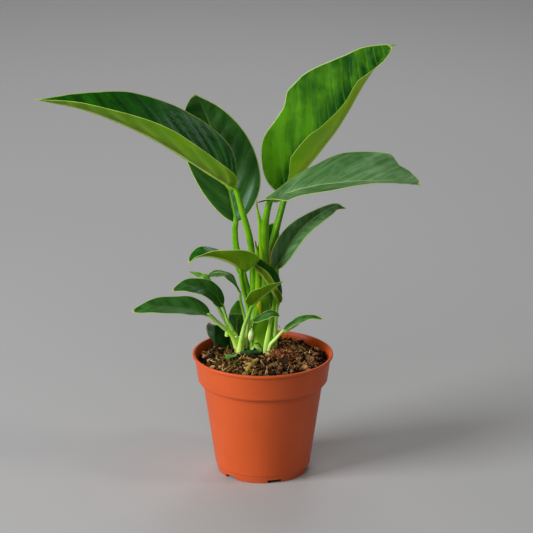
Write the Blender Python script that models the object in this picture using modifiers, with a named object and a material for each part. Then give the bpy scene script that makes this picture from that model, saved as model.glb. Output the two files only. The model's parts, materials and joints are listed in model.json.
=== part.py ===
"""Potted philodendron: a young plant in a 12 cm plastic nursery pot.

Lengths are in metres, and the shape tables are in millimetres (they are
multiplied by MM as they are read).  +Z is up, the front of the plant is -Y,
and the origin is the centre of the pot's underside, on the surface that the
pot stands on.
"""
import math

import bmesh
import bpy
from mathutils import Vector

MM = 0.001
GAP = 0.3            # clearance that touching pieces keep

# Pot, a turned shell of one wall thickness (mm)
POT_HEIGHT = 105.0
RIM_RADIUS = 60.0
RIM_BEAD = 1.9       # how far the rolled lip stands proud of the collar
RIM_DEPTH = 2.5      # height of the rolled lip
RIM_WALL = 1.7       # how thick the lip is at its top
COLLAR_HEIGHT = 24.4
COLLAR_RADIUS = 55.4
BODY_RADIUS = 51.5   # just under the collar
BODY_FOOT_RADIUS = 40.6
FOOT_HEIGHT = 7.3
FOOT_RADIUS = 38.4
FOOT_STEP = 1.2      # the foot is set in from the body by this
WALL = 1.2
FLOOR_HEIGHT = 4.4   # the floor stands clear of the surface
PAD_RADIUS = 9.0     # centre pad that reaches the surface
NOTCH_WIDTH = 12.0
NOTCH_HEIGHT = 3.0
NOTCH_COUNT = 6
NOTCH_START = -15.0  # degrees from +X
DRAIN_RADIUS = 3.5
DRAIN_CIRCLE = 25.0
POT_STEPS = 48

# Soil mound and the two crowns that stand in it (mm)
SOIL_EDGE = 96.8
SOIL_TOP = 103.8
CROWN_TOP = 108.0
CROWN_CENTRE = (-0.3, 9.0)
CROWN_RADII = (12.0, 15.0)
SHOOT_CROWN_TOP = 105.0
SHOOT_CROWN_CENTRE = (-19.5, 4.2)
SHOOT_CROWN_RADII = (7.2, 7.2)
CROWN_DEPTH = 14.0   # how deep both crowns reach into the soil

BLADE_THICKNESS = 0.7
FOOT_RISE = 1.5      # a stalk leaves its seat straight for this far
UP = Vector((0, 0, 1))
LARGE_GRID = (12, 6)
SMALL_GRID = (8, 4)

# ---------------------------------------------------------------- helpers

for old in list(bpy.data.objects):
    bpy.data.objects.remove(old, do_unlink=True)

plant = bpy.data.collections.new("potted_philodendron")
cutters = bpy.data.collections.new("cutters")
for group in (plant, cutters):
    bpy.context.scene.collection.children.link(group)


def finish(name, colour, roughness):
    """A plain plastic-like material."""
    material = bpy.data.materials.new(name)
    material.use_nodes = True
    shader = material.node_tree.nodes["Principled BSDF"]
    shader.inputs["Base Color"].default_value = (*colour, 1.0)
    shader.inputs["Roughness"].default_value = roughness
    shader.inputs["Metallic"].default_value = 0.0
    return material


TERRACOTTA = finish("terracotta_plastic", (0.55, 0.14, 0.06), 0.55)
SOIL = finish("soil", (0.06, 0.03, 0.015), 0.95)
LEAF = finish("leaf", (0.02, 0.14, 0.02), 0.3)
STALK = finish("stalk", (0.20, 0.48, 0.05), 0.4)
BARK = finish("bark", (0.22, 0.11, 0.05), 0.85)


def add_object(name, data, material, group=plant):
    piece = bpy.data.objects.new(name, data)
    piece.data.materials.append(material)
    group.objects.link(piece)
    return piece


def millimetres(*numbers):
    return Vector(numbers) * MM


def smooth_path(points, count):
    """Points on a Catmull-Rom curve through the given ones, ends included."""
    ends = (2 * points[0] - points[1], 2 * points[-1] - points[-2])
    knots = [ends[0], *points, ends[1]]
    spans = len(points) - 1
    path = []
    for step in range(count + 1):
        place = step / count * spans
        span = min(int(place), spans - 1)
        t = place - span
        a, b, c, d = knots[span:span + 4]
        path.append(0.5 * (2 * b + (c - a) * t + (2 * a - 5 * b + 4 * c - d) * t ** 2
                           + (3 * b - 3 * c + d - a) * t ** 3))
    return path


def spread(values, t):
    """Straight-line reading of evenly spaced values at t in 0..1."""
    place = min(max(t, 0.0), 1.0) * (len(values) - 1)
    span = min(int(place), len(values) - 2)
    return values[span] + (values[span + 1] - values[span]) * (place - span)


def turned(name, profile, material, steps):
    """A profile of (radius, height) in mm, outer side top to bottom, turned about Z."""
    shape = bmesh.new()
    verts = [shape.verts.new(millimetres(radius, 0, height)) for radius, height in profile]
    for first, second in zip(verts, verts[1:]):
        shape.edges.new((first, second))
    mesh = bpy.data.meshes.new(name)
    shape.to_mesh(mesh)
    shape.free()
    piece = add_object(name, mesh, material)
    screw = piece.modifiers.new("turn", "SCREW")
    screw.steps = screw.render_steps = steps
    screw.use_merge_vertices = True
    screw.merge_threshold = 0.00001
    return piece


def cone_mesh(name, base_radius, top_radius, height, sides):
    shape = bmesh.new()
    bmesh.ops.create_cone(shape, cap_ends=True, segments=sides, radius1=base_radius * MM,
                          radius2=top_radius * MM, depth=height * MM)
    mesh = bpy.data.meshes.new(name)
    shape.to_mesh(mesh)
    shape.free()
    return mesh


def cut(piece, name, mesh, place, turn=0.0):
    """Subtract a cutter that stands at a place in mm, turned about Z."""
    cutter = add_object(name, mesh, STALK, cutters)
    cutter.location = millimetres(*place)
    cutter.rotation_euler.z = turn
    cutter.hide_render = True
    cutter.display_type = "WIRE"
    boolean = piece.modifiers.new(name, "BOOLEAN")
    boolean.operation = "DIFFERENCE"
    boolean.object = cutter


# -------------------------------------------------------------------- pot

def make_pot():
    """Thin injection-moulded shell: rolled lip, stepped collar, tapered body, notched foot."""
    ledge = POT_HEIGHT - COLLAR_HEIGHT
    collar_top = RIM_RADIUS - RIM_BEAD
    lip_inside = (RIM_RADIUS - RIM_WALL, POT_HEIGHT - 0.3)
    profile = [
        lip_inside,
        (RIM_RADIUS - 1.0, POT_HEIGHT),
        (RIM_RADIUS - 0.3, POT_HEIGHT - 0.4),
        (RIM_RADIUS, POT_HEIGHT - RIM_DEPTH / 2),
        (RIM_RADIUS - 0.3, POT_HEIGHT - 2.0),
        (collar_top, POT_HEIGHT - RIM_DEPTH),
        (COLLAR_RADIUS, ledge),
        (BODY_RADIUS, ledge),
        (BODY_FOOT_RADIUS, FOOT_HEIGHT),
        (BODY_FOOT_RADIUS - FOOT_STEP, FOOT_HEIGHT - 0.4),
        (FOOT_RADIUS, 0.0),
        (FOOT_RADIUS - WALL, 0.0),
        (FOOT_RADIUS - WALL + 0.4, FLOOR_HEIGHT),
        (PAD_RADIUS, FLOOR_HEIGHT),
        (PAD_RADIUS, 0.0),
        (0.0, 0.0),
    ]
    inside = [
        (0.0, FLOOR_HEIGHT + WALL),
        (BODY_FOOT_RADIUS - WALL - 0.4, FLOOR_HEIGHT + WALL),
        (BODY_RADIUS - WALL, ledge + WALL),
        (COLLAR_RADIUS - WALL + 0.1, ledge + WALL),
        (collar_top - WALL + 0.1, POT_HEIGHT - RIM_DEPTH),
        lip_inside,
    ]
    pot = turned("pot", profile + inside, TERRACOTTA, POT_STEPS)
    notch = bmesh.new()
    for index in range(NOTCH_COUNT):
        angle = math.radians(NOTCH_START + index * 360.0 / NOTCH_COUNT)
        corners = bmesh.ops.create_cube(notch, size=1.0)["verts"]
        for corner in corners:
            along = FOOT_RADIUS + corner.co.x * 8.0
            across = corner.co.y * NOTCH_WIDTH
            corner.co = millimetres(
                along * math.cos(angle) - across * math.sin(angle),
                along * math.sin(angle) + across * math.cos(angle),
                corner.co.z * 2.0 * NOTCH_HEIGHT)
    mesh = bpy.data.meshes.new("foot_notches")
    notch.to_mesh(mesh)
    notch.free()
    cut(pot, "foot_notches", mesh, (0, 0, 0))
    for index in range(NOTCH_COUNT):
        angle = math.radians(NOTCH_START + index * 360.0 / NOTCH_COUNT)
        place = (DRAIN_CIRCLE * math.cos(angle), DRAIN_CIRCLE * math.sin(angle), FLOOR_HEIGHT)
        hole = cone_mesh(f"drain_{index}", DRAIN_RADIUS, DRAIN_RADIUS, 8.0, 12)
        cut(pot, f"drain_{index}", hole, place)


def soil_height(radius):
    """Height of the mounded soil in mm at a radius in mm."""
    heights = (SOIL_TOP, SOIL_TOP - 0.4, SOIL_TOP - 1.6, SOIL_TOP - 3.4, SOIL_EDGE)
    return spread(heights, radius / (COLLAR_RADIUS + 0.5))


def make_soil():
    """The potting mix: fills the pot, mounded up to the plant."""
    ledge = POT_HEIGHT - COLLAR_HEIGHT
    body = BODY_RADIUS - WALL - GAP
    collar = COLLAR_RADIUS - WALL - GAP
    slope = (RIM_RADIUS - RIM_BEAD - COLLAR_RADIUS) / COLLAR_HEIGHT
    edge = collar + slope * (SOIL_EDGE - ledge)
    top = [(radius, soil_height(radius)) for radius in (0.0, 10.0, 20.0, 30.0, 40.0, 48.0)]
    profile = [
        *top,
        (edge, SOIL_EDGE),
        (collar, ledge + WALL + GAP),
        (body, ledge + WALL + GAP),
        (BODY_FOOT_RADIUS - WALL - 0.8, FLOOR_HEIGHT + WALL + GAP),
        (0.0, FLOOR_HEIGHT + WALL + GAP),
    ]
    soil = turned("soil", profile, SOIL, 40)
    wells = (("crown_well", CROWN_CENTRE, CROWN_RADII, CROWN_TOP),
             ("shoot_well", SHOOT_CROWN_CENTRE, SHOOT_CROWN_RADII, SHOOT_CROWN_TOP))
    for name, centre, radii, height in wells:
        mesh = crown_mesh(name, radii, height, 2 * GAP)
        cut(soil, name, mesh, (*centre, 0.0))


# ----------------------------------------------------------------- crowns

def crown_mesh(name, radii, top, extra=0.0):
    """An oval stump, a little wider at the top; extra grows it for its well in the soil."""
    bottom = SOIL_TOP - CROWN_DEPTH - extra
    height = top + 4.0 * extra - bottom
    mesh = cone_mesh(name, 0.7, 1.0, height, 20)
    for vert in mesh.vertices:
        vert.co.x *= radii[0] + extra
        vert.co.y *= radii[1] + extra
        vert.co.z += (bottom + height / 2) * MM
    return mesh


def make_crowns():
    """Short stems at soil level that carry the petioles."""
    crown = add_object("crown", crown_mesh("crown", CROWN_RADII, CROWN_TOP), STALK)
    crown.location = millimetres(*CROWN_CENTRE, 0.0)
    shoot = add_object("shoot_crown", crown_mesh("shoot_crown", SHOOT_CROWN_RADII,
                                                 SHOOT_CROWN_TOP), STALK)
    shoot.location = millimetres(*SHOOT_CROWN_CENTRE, 0.0)


# ----------------------------------------------------------------- leaves

def outline(u, shape):
    """Half-width of a blade from 0 to 1, at u along it; shape is (base, tip) fullness."""
    base, tip = shape
    peak = base / (base + tip)
    top = peak ** base * (1 - peak) ** tip
    return max(u, 0.0) ** base * max(1 - u, 0.0) ** tip / top


def dipped(leaf, side, u):
    """The share of its width that a half keeps at u, after the leaf's dips.

    A dip is (side, where it starts, where it ends, the share that it takes away).
    """
    kept = 1.0
    for where, start, end, share in leaf.get("dips", ()):
        if where == side:
            climb = min(1.0, max(0.0, (u - start) / (end - start)))
            kept *= 1 - share * climb * climb * (3 - 2 * climb)
    return kept


def make_blade(name, leaf, grid):
    """A folded leaf blade laid along its midrib, with its upper side towards leaf["face"]."""
    rows, columns = grid
    spine = [millimetres(*point) for point in leaf["spine"]]
    faces = [Vector(face).normalized() for face in leaf["face"]]
    if len(faces) == 1:
        faces = faces * 2
    fine = 60
    midrib = smooth_path(spine, fine)
    normals = smooth_path(faces, fine)
    surface = bmesh.new()
    bmesh.ops.create_grid(surface, x_segments=rows, y_segments=columns, size=1.0)
    for vert in surface.verts:
        u = (1 - math.cos(math.pi * (vert.co.x + 1) / 2)) / 2
        across = vert.co.y
        place = round(u * fine)
        before, after = midrib[max(place - 1, 0)], midrib[min(place + 1, fine)]
        along = (after - before).normalized()
        up = normals[place]
        up = (up - along * up.dot(along)).normalized()
        right = along.cross(up)
        side = 1 if across > 0 else 0
        reach = abs(across)
        full = outline(place / fine, leaf["shape"][side]) * leaf["width"][side]
        full *= dipped(leaf, side, place / fine)
        least = 1.2 if place < fine / 2 else 0.8
        width = max(full, least) * MM * reach
        fold = spread(leaf["fold"][side], place / fine) + leaf["curl"][side] * reach / 2
        lean = math.radians(fold)
        sign = 1 if side else -1
        vert.co = (midrib[place] + right * (sign * width * math.cos(lean))
                   + up * (width * math.sin(lean)))
    mesh = bpy.data.meshes.new(name)
    surface.to_mesh(mesh)
    surface.free()
    mesh.shade_smooth()
    blade = add_object(name, mesh, LEAF)
    solid = blade.modifiers.new("thickness", "SOLIDIFY")
    solid.thickness = BLADE_THICKNESS * MM
    solid.offset = 0.0
    solid.use_even_offset = True
    return blade


def tube(name, points, radii, material=STALK, pieces=8, rise=None):
    """A round stalk through points in mm, whose radius runs evenly through radii in mm.

    rise is the way it leaves its seat, so that its flat end lies square on the seat.
    """
    knots = [millimetres(*point) for point in points]
    foot = []
    if rise is not None:
        foot = [knots[0].copy()]
        knots[0] += rise * FOOT_RISE * MM
    path = foot + smooth_path(knots, pieces)
    curve = bpy.data.curves.new(name, "CURVE")
    curve.dimensions = "3D"
    curve.bevel_depth = MM
    curve.bevel_resolution = 2
    curve.use_fill_caps = True
    spline = curve.splines.new("POLY")
    spline.points.add(len(path) - 1)
    for step, (point, knot) in enumerate(zip(path, spline.points)):
        knot.co = (*point, 1.0)
        knot.radius = spread(radii, step / (len(path) - 1))
    return add_object(name, curve, material)


def short_of(point, before):
    """The end of a petiole that stops just short of its blade's base, in mm."""
    run = (Vector(point) - Vector(before)).normalized()
    return tuple(Vector(point) - run * (BLADE_THICKNESS / 2 + GAP + 0.2))


def make_leaf(name, leaf, grid, rise=UP):
    make_blade(f"blade_{name}", leaf, grid)
    stalk = leaf["stalk"]
    end = short_of(leaf["spine"][0], stalk[-1])
    tube(f"petiole_{name}", [*stalk, end], leaf["radius"], rise=rise)


FLAT = ((15, 10), (15, 10))
NO_CURL = (0, 0)

# Every leaf: its petiole from the crown up, its midrib from base to tip, the way its upper
# side looks, the half-widths of its left and right halves, how far each half is folded up
# (degrees, base to tip), and how full its outline is at base and tip.
large_leaves = {
    "long_left": {
        "stalk": ((-6.8, 8, 108.3), (-7, 9, 131), (-7.5, 8, 164.9), (-9.2, 6, 194.2),
                  (-11.7, 5, 209.9), (-17.3, 5, 230.1)),
        "radius": (3.6, 3.8, 3.6, 3.1, 3.1, 2.8, 2.4),
        "spine": ((-22.6, 6, 248.3), (-42.7, 2, 262.7), (-93.4, -6, 297.8), (-143.7, -12, 322),
                  (-188.3, -14, 330.9)),
        "face": ((0.15, -0.12, 1), (0, -0.1, 1), (-0.1, 0, 1)),
        "width": (34, 41), "fold": ((38, 32), (42, 30)), "curl": (12, 8),
        "shape": ((0.85, 1.1), (0.78, 1.12)),
        "dips": ((0, 0.45, 0.8, 0.25), (1, 0.6, 0.8, 0.2))},
    "back_left": {
        "stalk": ((-6, 16, 108.3), (-8, 17, 136), (-14.1, 18, 159.8), (-18.2, 20, 175.3),
                  (-22.7, 22, 192.6), (-23.8, 24, 207.2)),
        "radius": (2.6, 2.7, 2.6, 2.6, 2.7, 2.5, 2.3),
        "spine": ((-23, 24, 214), (-30, 34, 243), (-39, 40, 275), (-47, 42, 301), (-57, 36, 324)),
        "face": ((-0.1, -1, 0.3), (-0.1, -1, 0.35)),
        "width": (27, 32), "fold": ((18, 8), (18, 8)), "curl": NO_CURL,
        "shape": ((0.5, 0.6), (0.58, 1.05))},
    "level_right": {
        "stalk": ((2, 8, 108.3), (2.2, 8.5, 135), (1.6, 8, 157), (1, 6, 189.8), (1.2, 2, 208.8),
                  (2.7, -4, 227.6)),
        "radius": (4.5, 4.8, 4.8, 3.8, 3.9, 3.1, 2.6),
        "spine": ((6.5, -11, 244.4), (30.3, -22, 257.3), (58.4, -33, 266.1), (97.1, -43, 271.4),
                  (130.5, -47, 268.9)),
        "face": ((0, 0, 1), (0, 0, 1)),
        "width": (40, 30), "fold": ((24, 24), (22, -3, 5, 12, 18)), "curl": NO_CURL,
        "shape": ((0.8, 0.55), (0.6, 0.7)),
        "dips": ((0, 0.78, 0.86, 0.3), (0, 0.91, 0.97, 0.15))},
    "top_right": {
        "stalk": ((3, 16.5, 108.3), (5, 18.5, 146), (7, 17, 174), (7.9, 15, 194.9),
                  (10.5, 15, 207.4), (14.6, 17, 223.1)),
        "radius": (3.6, 3.6, 3.4, 3.1, 3.2, 2.8, 2.7),
        "spine": ((20.5, 20, 243.6), (41.6, 20, 267.4), (65.4, 16, 302.8), (86.3, 8, 343.7),
                  (107, 0, 375.4)),
        "face": ((-0.85, -0.5, 0.2), (-0.6, -0.8, 0.4)),
        "width": (51.5, 45), "fold": ((45, 30), (42, 70, 64, 72, 15)), "curl": (0, 12),
        "shape": ((0.5, 0.7), (0.75, 0.5)),
        "dips": ((0, 0.64, 0.8, 0.22), (0, 0.88, 0.97, 0.08), (1, 0.42, 0.66, 0.7))},
    "mid_right": {
        "stalk": ((9.6, 12, 108.3), (9.9, 13.5, 127.9), (11, 13.5, 145.1), (11.8, 13, 166)),
        "radius": (2.5, 2.3, 2.2, 2.1, 1.9),
        "spine": ((12, 14, 176), (27, 12, 204), (42, 8, 221), (61, 2, 235), (70, -2, 234)),
        "face": ((-0.3, -0.9, 0.3), (-0.1, -0.9, 0.5)),
        "width": (15.5, 15), "fold": ((60, 55, 30), (45, 45, 30)), "curl": NO_CURL,
        "shape": ((0.5, 2.1), (0.5, 1.0))},
    "curled": {
        "stalk": ((10, 3.8, 108.3), (11, 2.5, 126), (12.3, 1, 144.8)),
        "radius": (1.8, 1.6, 1.4, 1.3),
        "spine": ((13.4, 0, 149.7), (7.4, -7, 163.7), (-1.1, -11, 178.4), (-10.8, -12, 189.4),
                  (-17.5, -11, 197.9)),
        "face": ((0.8, 0.1, 0.5), (0.6, 0.3, 0.7)),
        "width": (9, 15), "fold": ((40, 30), (55, 45)), "curl": NO_CURL,
        "shape": ((0.5, 0.9), (0.5, 0.9))},
    "front_arching": {
        "stalk": ((-15.2, 6.8, 105.3), (-13.6, 4, 119), (-12.6, -2, 133), (-12.5, -6, 146.3),
                  (-15.6, -10, 162.9), (-18, -14, 175.8)),
        "radius": (2.0, 2.0, 2.0, 2.0, 2.0, 2.1, 2.3),
        "spine": ((-18.7, -17, 183.9), (-26.7, -18, 191.7), (-41.9, -17, 197.2), (-55, -15, 195.7),
                  (-62.7, -14, 189.7)),
        "face": ((0.6, 0.3, 0.7), (-0.1, 0.1, 1), (-0.5, 0, 0.8)),
        "width": (21, 17), "fold": ((45, 35), (5, 18)), "curl": (10, 0),
        "shape": ((0.42, 2.8), (0.6, 0.6))},
}

small_leaves = {
    "front_small": {
        "stalk": ((-18.4, 0.5, 105.3), (-18.4, -1, 114.9), (-16.8, -5, 125.3), (-14.8, -10, 135.1),
                  (-11.6, -15, 145.3)),
        "radius": (2.4, 2.3, 2.1, 1.7, 1.6, 1.5),
        "spine": ((-9.3, -18, 152.9), (-0.6, -21, 161.7), (7.8, -22.5, 168.9), (17.1, -23, 176.6)),
        "face": ((-0.6, 0.5, 0.5), (-0.3, 0.5, 0.7)),
        "width": (12, 14.5), "fold": ((20, 20), (20, 20)), "curl": NO_CURL,
        "shape": ((0.4, 0.9), (0.42, 1.0))},
    "small_arching": {
        "stalk": ((-11.2, 11.8, 108.3), (-15.4, 8, 134), (-18.8, 6, 150)),
        "radius": (1.6, 1.5, 1.3, 1.1),
        "spine": ((-20.2, 6, 158), (-26.2, 10, 168.3), (-32.2, 13, 173.1), (-41.1, 14, 173.7),
                  (-48, 12, 170.3)),
        "face": ((0.4, 0.2, 0.6), (0, -0.4, 0.9)),
        "width": (7, 1.8), "fold": ((-12, -12), (15, 10)), "curl": NO_CURL,
        "shape": ((0.5, 0.7), (0.5, 0.7))},
    "tiny_right": {
        "stalk": ((-10, 3, 108.3), (-10, 1, 119), (-10.3, -3.5, 127), (-10.3, -7.5, 133)),
        "radius": (1.2, 1.2, 1.1, 1.0, 1.0),
        "spine": ((-9, -10, 137), (-1, -12, 141), (8, -14, 145), (15, -15, 143)),
        "face": ((-0.2, -0.7, 0.8), (0.1, -0.6, 0.9)),
        "width": (3.6, 5), "fold": FLAT, "curl": NO_CURL,
        "shape": ((0.9, 0.8), (0.6, 0.8))},
    "low_right": {
        "stalk": ((7.6, -1.2, 108.3), (8.4, -2, 117), (11.8, -3.5, 122.1)),
        "radius": (2.0, 2.0, 1.9, 1.7),
        "spine": ((16.8, -6, 127), (24.4, -10, 132.7), (32.4, -12, 137.8), (41.7, -14, 141),
                  (51.9, -15, 139.8)),
        "face": ((-0.2, -0.5, 0.9), (0, -0.4, 1)),
        "width": (5.2, 3), "fold": ((20, 10), (20, 10)), "curl": NO_CURL,
        "shape": ((0.6, 0.8), (0.5, 0.8))},
    "hidden_back": {
        "stalk": ((-1.5, 22, 108.3), (-1, 25, 125), (0.2, 26, 148.1)),
        "radius": (1.6, 1.5, 1.4, 1.3),
        "spine": ((1, 27, 161.3), (4, 28, 179.9), (7.4, 29, 196.6), (10.2, 29, 212.3)),
        "face": ((0, -1, 0.2),),
        "width": (11, 7.5), "fold": ((10, 10), (10, 10)), "curl": NO_CURL,
        "shape": ((0.6, 0.55), (0.6, 0.55))},
}

# The left shoot: a leaning stem that carries three leaves on its flat top.
shoot_points = ((-21, 7.3, 105.3), (-22.8, 3.5, 115), (-28.5, -2, 127))
shoot_run = (Vector(shoot_points[2]) - Vector(shoot_points[1])).normalized()
shoot_side = shoot_run.cross(Vector((0, -1, 0))).normalized()
shoot_back = shoot_side.cross(shoot_run) * -1
SHOOT_RADIUS = 3.9


def on_shoot(sideways, backwards):
    """A seat on the shoot's flat top, GAP above it (mm)."""
    seat = Vector(shoot_points[2]) + shoot_side * sideways + shoot_back * backwards
    return tuple(seat + shoot_run * (GAP + 0.1))


shoot_leaves = {
    "low_upper": {
        "stalk": (on_shoot(2.0, -0.6), (-29.5, -4, 134), (-32, -4, 141)),
        "radius": (1.4, 1.3, 1.3, 1.3),
        "spine": ((-34, -5, 149), (-42, -8, 161), (-53, -11, 168), (-65, -13, 170),
                  (-77, -14, 166)),
        "face": ((0, -0.5, 0.9), (-0.3, -0.5, 0.9)),
        "width": (12, 9.5), "fold": FLAT, "curl": NO_CURL,
        "shape": ((0.5, 0.8), (0.5, 0.8))},
    "low_lower": {
        "stalk": (on_shoot(-1.8, -1.0), (-32.5, -5, 131), (-39, -7, 137)),
        "radius": (1.9, 1.9, 1.8, 1.7),
        "spine": ((-45, -8, 142), (-57, -10, 146), (-72, -12, 149), (-91, -14, 151),
                  (-111, -16, 148)),
        "face": ((0, -0.4, 1), (-0.1, -0.4, 1)),
        "width": (12, 13), "fold": FLAT, "curl": NO_CURL,
        "shape": ((0.8, 0.6), (0.5, 0.8))},
    "young": {
        "stalk": (on_shoot(0.0, 2.4), (-38, 2, 145), (-43, 3, 156)),
        "radius": (1.4, 1.7, 1.5, 1.3, 1.1),
        "spine": ((-43.2, 3, 165.7), (-48.2, 3, 171.5), (-54.1, 2, 173.9), (-62.7, 1, 177.5)),
        "face": ((0.2, -0.3, 0.9), (0, -0.6, 0.8)),
        "width": (3.5, 3.2), "fold": ((10, 10), (10, 10)), "curl": NO_CURL,
        "shape": ((0.5, 0.8), (0.5, 0.8))},
}

# ------------------------------------------------- sheaths and loose pieces

loose_leaves = {
    "bud_scale": {
        "spine": ((-6, -1.5, 108.7), (-8.5, -5, 119), (-9.5, -8, 131)),
        "face": ((0.2, -1, 0.2),),
        "width": (3.2, 3.2), "fold": ((20, 15), (20, 15)), "curl": NO_CURL,
        "shape": ((0.7, 0.6), (0.7, 0.6))},
    "soil_leaflet": {
        "spine": ((-19, -12, 103.7), (-24, -12, 105), (-31, -14, 102.3)),
        "face": ((0, -0.3, 1),),
        "width": (4.5, 4.5), "fold": ((10, 10), (10, 10)), "curl": NO_CURL,
        "shape": ((0.7, 0.6), (0.7, 0.6))},
    "old_leaf_left": {
        "spine": ((-27, 21, 102.3), (-33, 24, 112), (-41, 27, 121)),
        "face": ((-0.2, -1, 0.3),),
        "width": (9, 9), "fold": ((10, 5), (10, 5)), "curl": NO_CURL,
        "shape": ((0.8, 0.4), (0.8, 0.4))},
    "old_leaf_back": {
        "spine": ((-21, 17, 102.9), (-23, 18, 120), (-22, 17, 146)),
        "face": ((-0.2, -1, 0.2),),
        "width": (7, 7), "fold": ((15, 10), (15, 10)), "curl": NO_CURL,
        "shape": ((1.2, 0.6), (1.2, 0.6))},
}


def make_sheath_tips():
    """Dried or green pointed ends of the sheaths that once wrapped the next leaf."""
    tube("sheath_tip_left", ((-4.9, 3.2, 184), (-5.2, 2.2, 196), (-6, 1, 205)),
         (1.1, 0.9, 0.4), pieces=6)
    tube("sheath_tip_centre", ((-3.2, -1.6, 216), (-4.8, -4.5, 231), (-4.9, -7, 243)),
         (0.9, 0.8, 0.4), pieces=6)
    tube("sheath_low_right", ((3.2, -3, 108.3), (4.6, -5, 121), (7.6, -5, 136), (8.3, -3, 152)),
         (2.2, 1.8, 1.0, 0.4), pieces=8, rise=UP)


def make_litter():
    """The rolled leaf stub, twig, splinter and bark chips that lie on the soil."""
    tube("leaf_stub", ((-18, -7.5, 105.1), (-11, -7.6, 105.4), (-4, -7.2, 105.5)),
         (1.6, 1.8, 1.4), pieces=5)
    tube("twig", ((-15, -40, 101.8), (-10, -31, 103.4), (-5, -22, 104.2)),
         (1.1, 1.4, 1.0), BARK, pieces=4)
    tube("splinter", ((36, -4, 102.1), (42, 2, 101.8), (47, 8, 100.1)),
         (0.7, 1.0, 0.6), BARK, pieces=4)
    chips = ((25, 22, 9, 6, 20), (42, 18, 7, 5, 70), (-22, -34, 8, 5, 110), (20, -30, 7, 5, 160),
             (-4, 36, 9, 6, 40))
    for index, (x, y, length, width, turn) in enumerate(chips, 1):
        mesh = cone_mesh(f"bark_chip_{index}", 1.0, 0.7, 2.4, 6)
        for vert in mesh.vertices:
            vert.co.x *= length / 2
            vert.co.y *= width / 2
        chip = add_object(f"bark_chip_{index}", mesh, BARK)
        inner_edge = math.hypot(x, y) - length / 2
        chip.location = millimetres(x, y, soil_height(inner_edge) + 1.2 + GAP)
        chip.rotation_euler.z = math.radians(turn)


make_pot()
make_soil()
make_crowns()
for leaf_name, leaf_table in large_leaves.items():
    make_leaf(leaf_name, leaf_table, LARGE_GRID)
for leaf_name, leaf_table in small_leaves.items():
    make_leaf(leaf_name, leaf_table, SMALL_GRID)
for leaf_name, leaf_table in shoot_leaves.items():
    make_leaf(leaf_name, leaf_table, SMALL_GRID, shoot_run)
tube("shoot_stem", shoot_points, (3.2, 3.6, SHOOT_RADIUS), pieces=6, rise=UP)
for leaf_name, leaf_table in loose_leaves.items():
    make_blade(leaf_name, leaf_table, SMALL_GRID)
make_sheath_tips()
make_litter()
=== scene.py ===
"""Potted philodendron: the finish of every piece of a young plant in a nursery pot.

Lengths in the tables are millimetres; MM turns them into metres.  The front of
the plant is -Y and the pot stands on Z = 0.
"""
import json
import math
import random

import bmesh
import bpy
from mathutils import Matrix, Vector, noise
from mathutils.geometry import delaunay_2d_cdt

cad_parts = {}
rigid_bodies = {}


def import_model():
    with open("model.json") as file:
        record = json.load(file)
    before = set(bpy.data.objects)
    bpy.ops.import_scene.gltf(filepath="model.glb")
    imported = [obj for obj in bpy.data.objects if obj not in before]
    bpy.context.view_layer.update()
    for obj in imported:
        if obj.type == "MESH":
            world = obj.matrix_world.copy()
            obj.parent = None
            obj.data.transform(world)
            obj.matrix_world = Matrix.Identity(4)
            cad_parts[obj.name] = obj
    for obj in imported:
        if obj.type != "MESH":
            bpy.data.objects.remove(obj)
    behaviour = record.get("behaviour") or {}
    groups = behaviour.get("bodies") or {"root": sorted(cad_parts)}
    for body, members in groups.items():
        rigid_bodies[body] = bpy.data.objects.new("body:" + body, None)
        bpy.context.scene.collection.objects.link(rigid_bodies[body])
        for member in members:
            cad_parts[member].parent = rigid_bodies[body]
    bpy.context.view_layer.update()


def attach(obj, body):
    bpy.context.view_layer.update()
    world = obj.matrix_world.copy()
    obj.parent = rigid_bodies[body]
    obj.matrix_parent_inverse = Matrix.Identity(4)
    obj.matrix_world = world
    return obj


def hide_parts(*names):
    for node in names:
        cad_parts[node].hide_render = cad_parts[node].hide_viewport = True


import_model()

MM = 0.001
scene_collection = bpy.context.scene.collection

# ----------------------------------------------------------------------- pot
# A 12 cm nursery pot, injection moulded in terracotta-coloured polypropylene:
# one thin turned wall with a rolled lip, a stacking collar and a notched foot.
# Its floor has a ring of drain holes and stands clear of the table.
POT_HEIGHT = 105.0
RIM_RADIUS = 60.0
RIM_BEAD = 1.9            # how far the rolled lip stands proud of the collar
LIP_DEPTH = 2.2           # how far down the lip reaches
LEDGE_HEIGHT = 80.6       # underside of the collar
COLLAR_RADIUS = 55.4
BODY_RADIUS = 51.5
BODY_FOOT_RADIUS = 40.6
FOOT_HEIGHT = 7.3
FOOT_RADIUS = 38.4
WALL = 1.2
FLOOR_HEIGHT = 4.4
PAD_RADIUS = 9.0          # the injection pad at the middle of the floor
PAD_HOLLOW = 0.6
CORNER = 0.7              # moulded corners are rounded by this much
TURNING_STEPS, TURNING_RADIUS = 160, 30.0
HOLE_SIDES = 24
CREASE = math.radians(38)  # edges sharper than this stay crisp
FOOT_NOTCHES = {"Notches": 6, "Notch turn": math.radians(-15), "Notch width": 12.0 * MM,
                "Notch height": 3.0 * MM, "Notch circle": FOOT_RADIUS * MM}
DRAIN_HOLES = {"Hole radius": 3.5 * MM, "Hole circle": 25.0 * MM,
               "Floor height": FLOOR_HEIGHT * MM}
TERRACOTTA = (0.64, 0.100, 0.020)
TERRACOTTA_DEEP = (0.54, 0.072, 0.009)
TERRACOTTA_DUST = (0.30, 0.16, 0.085)


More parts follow.
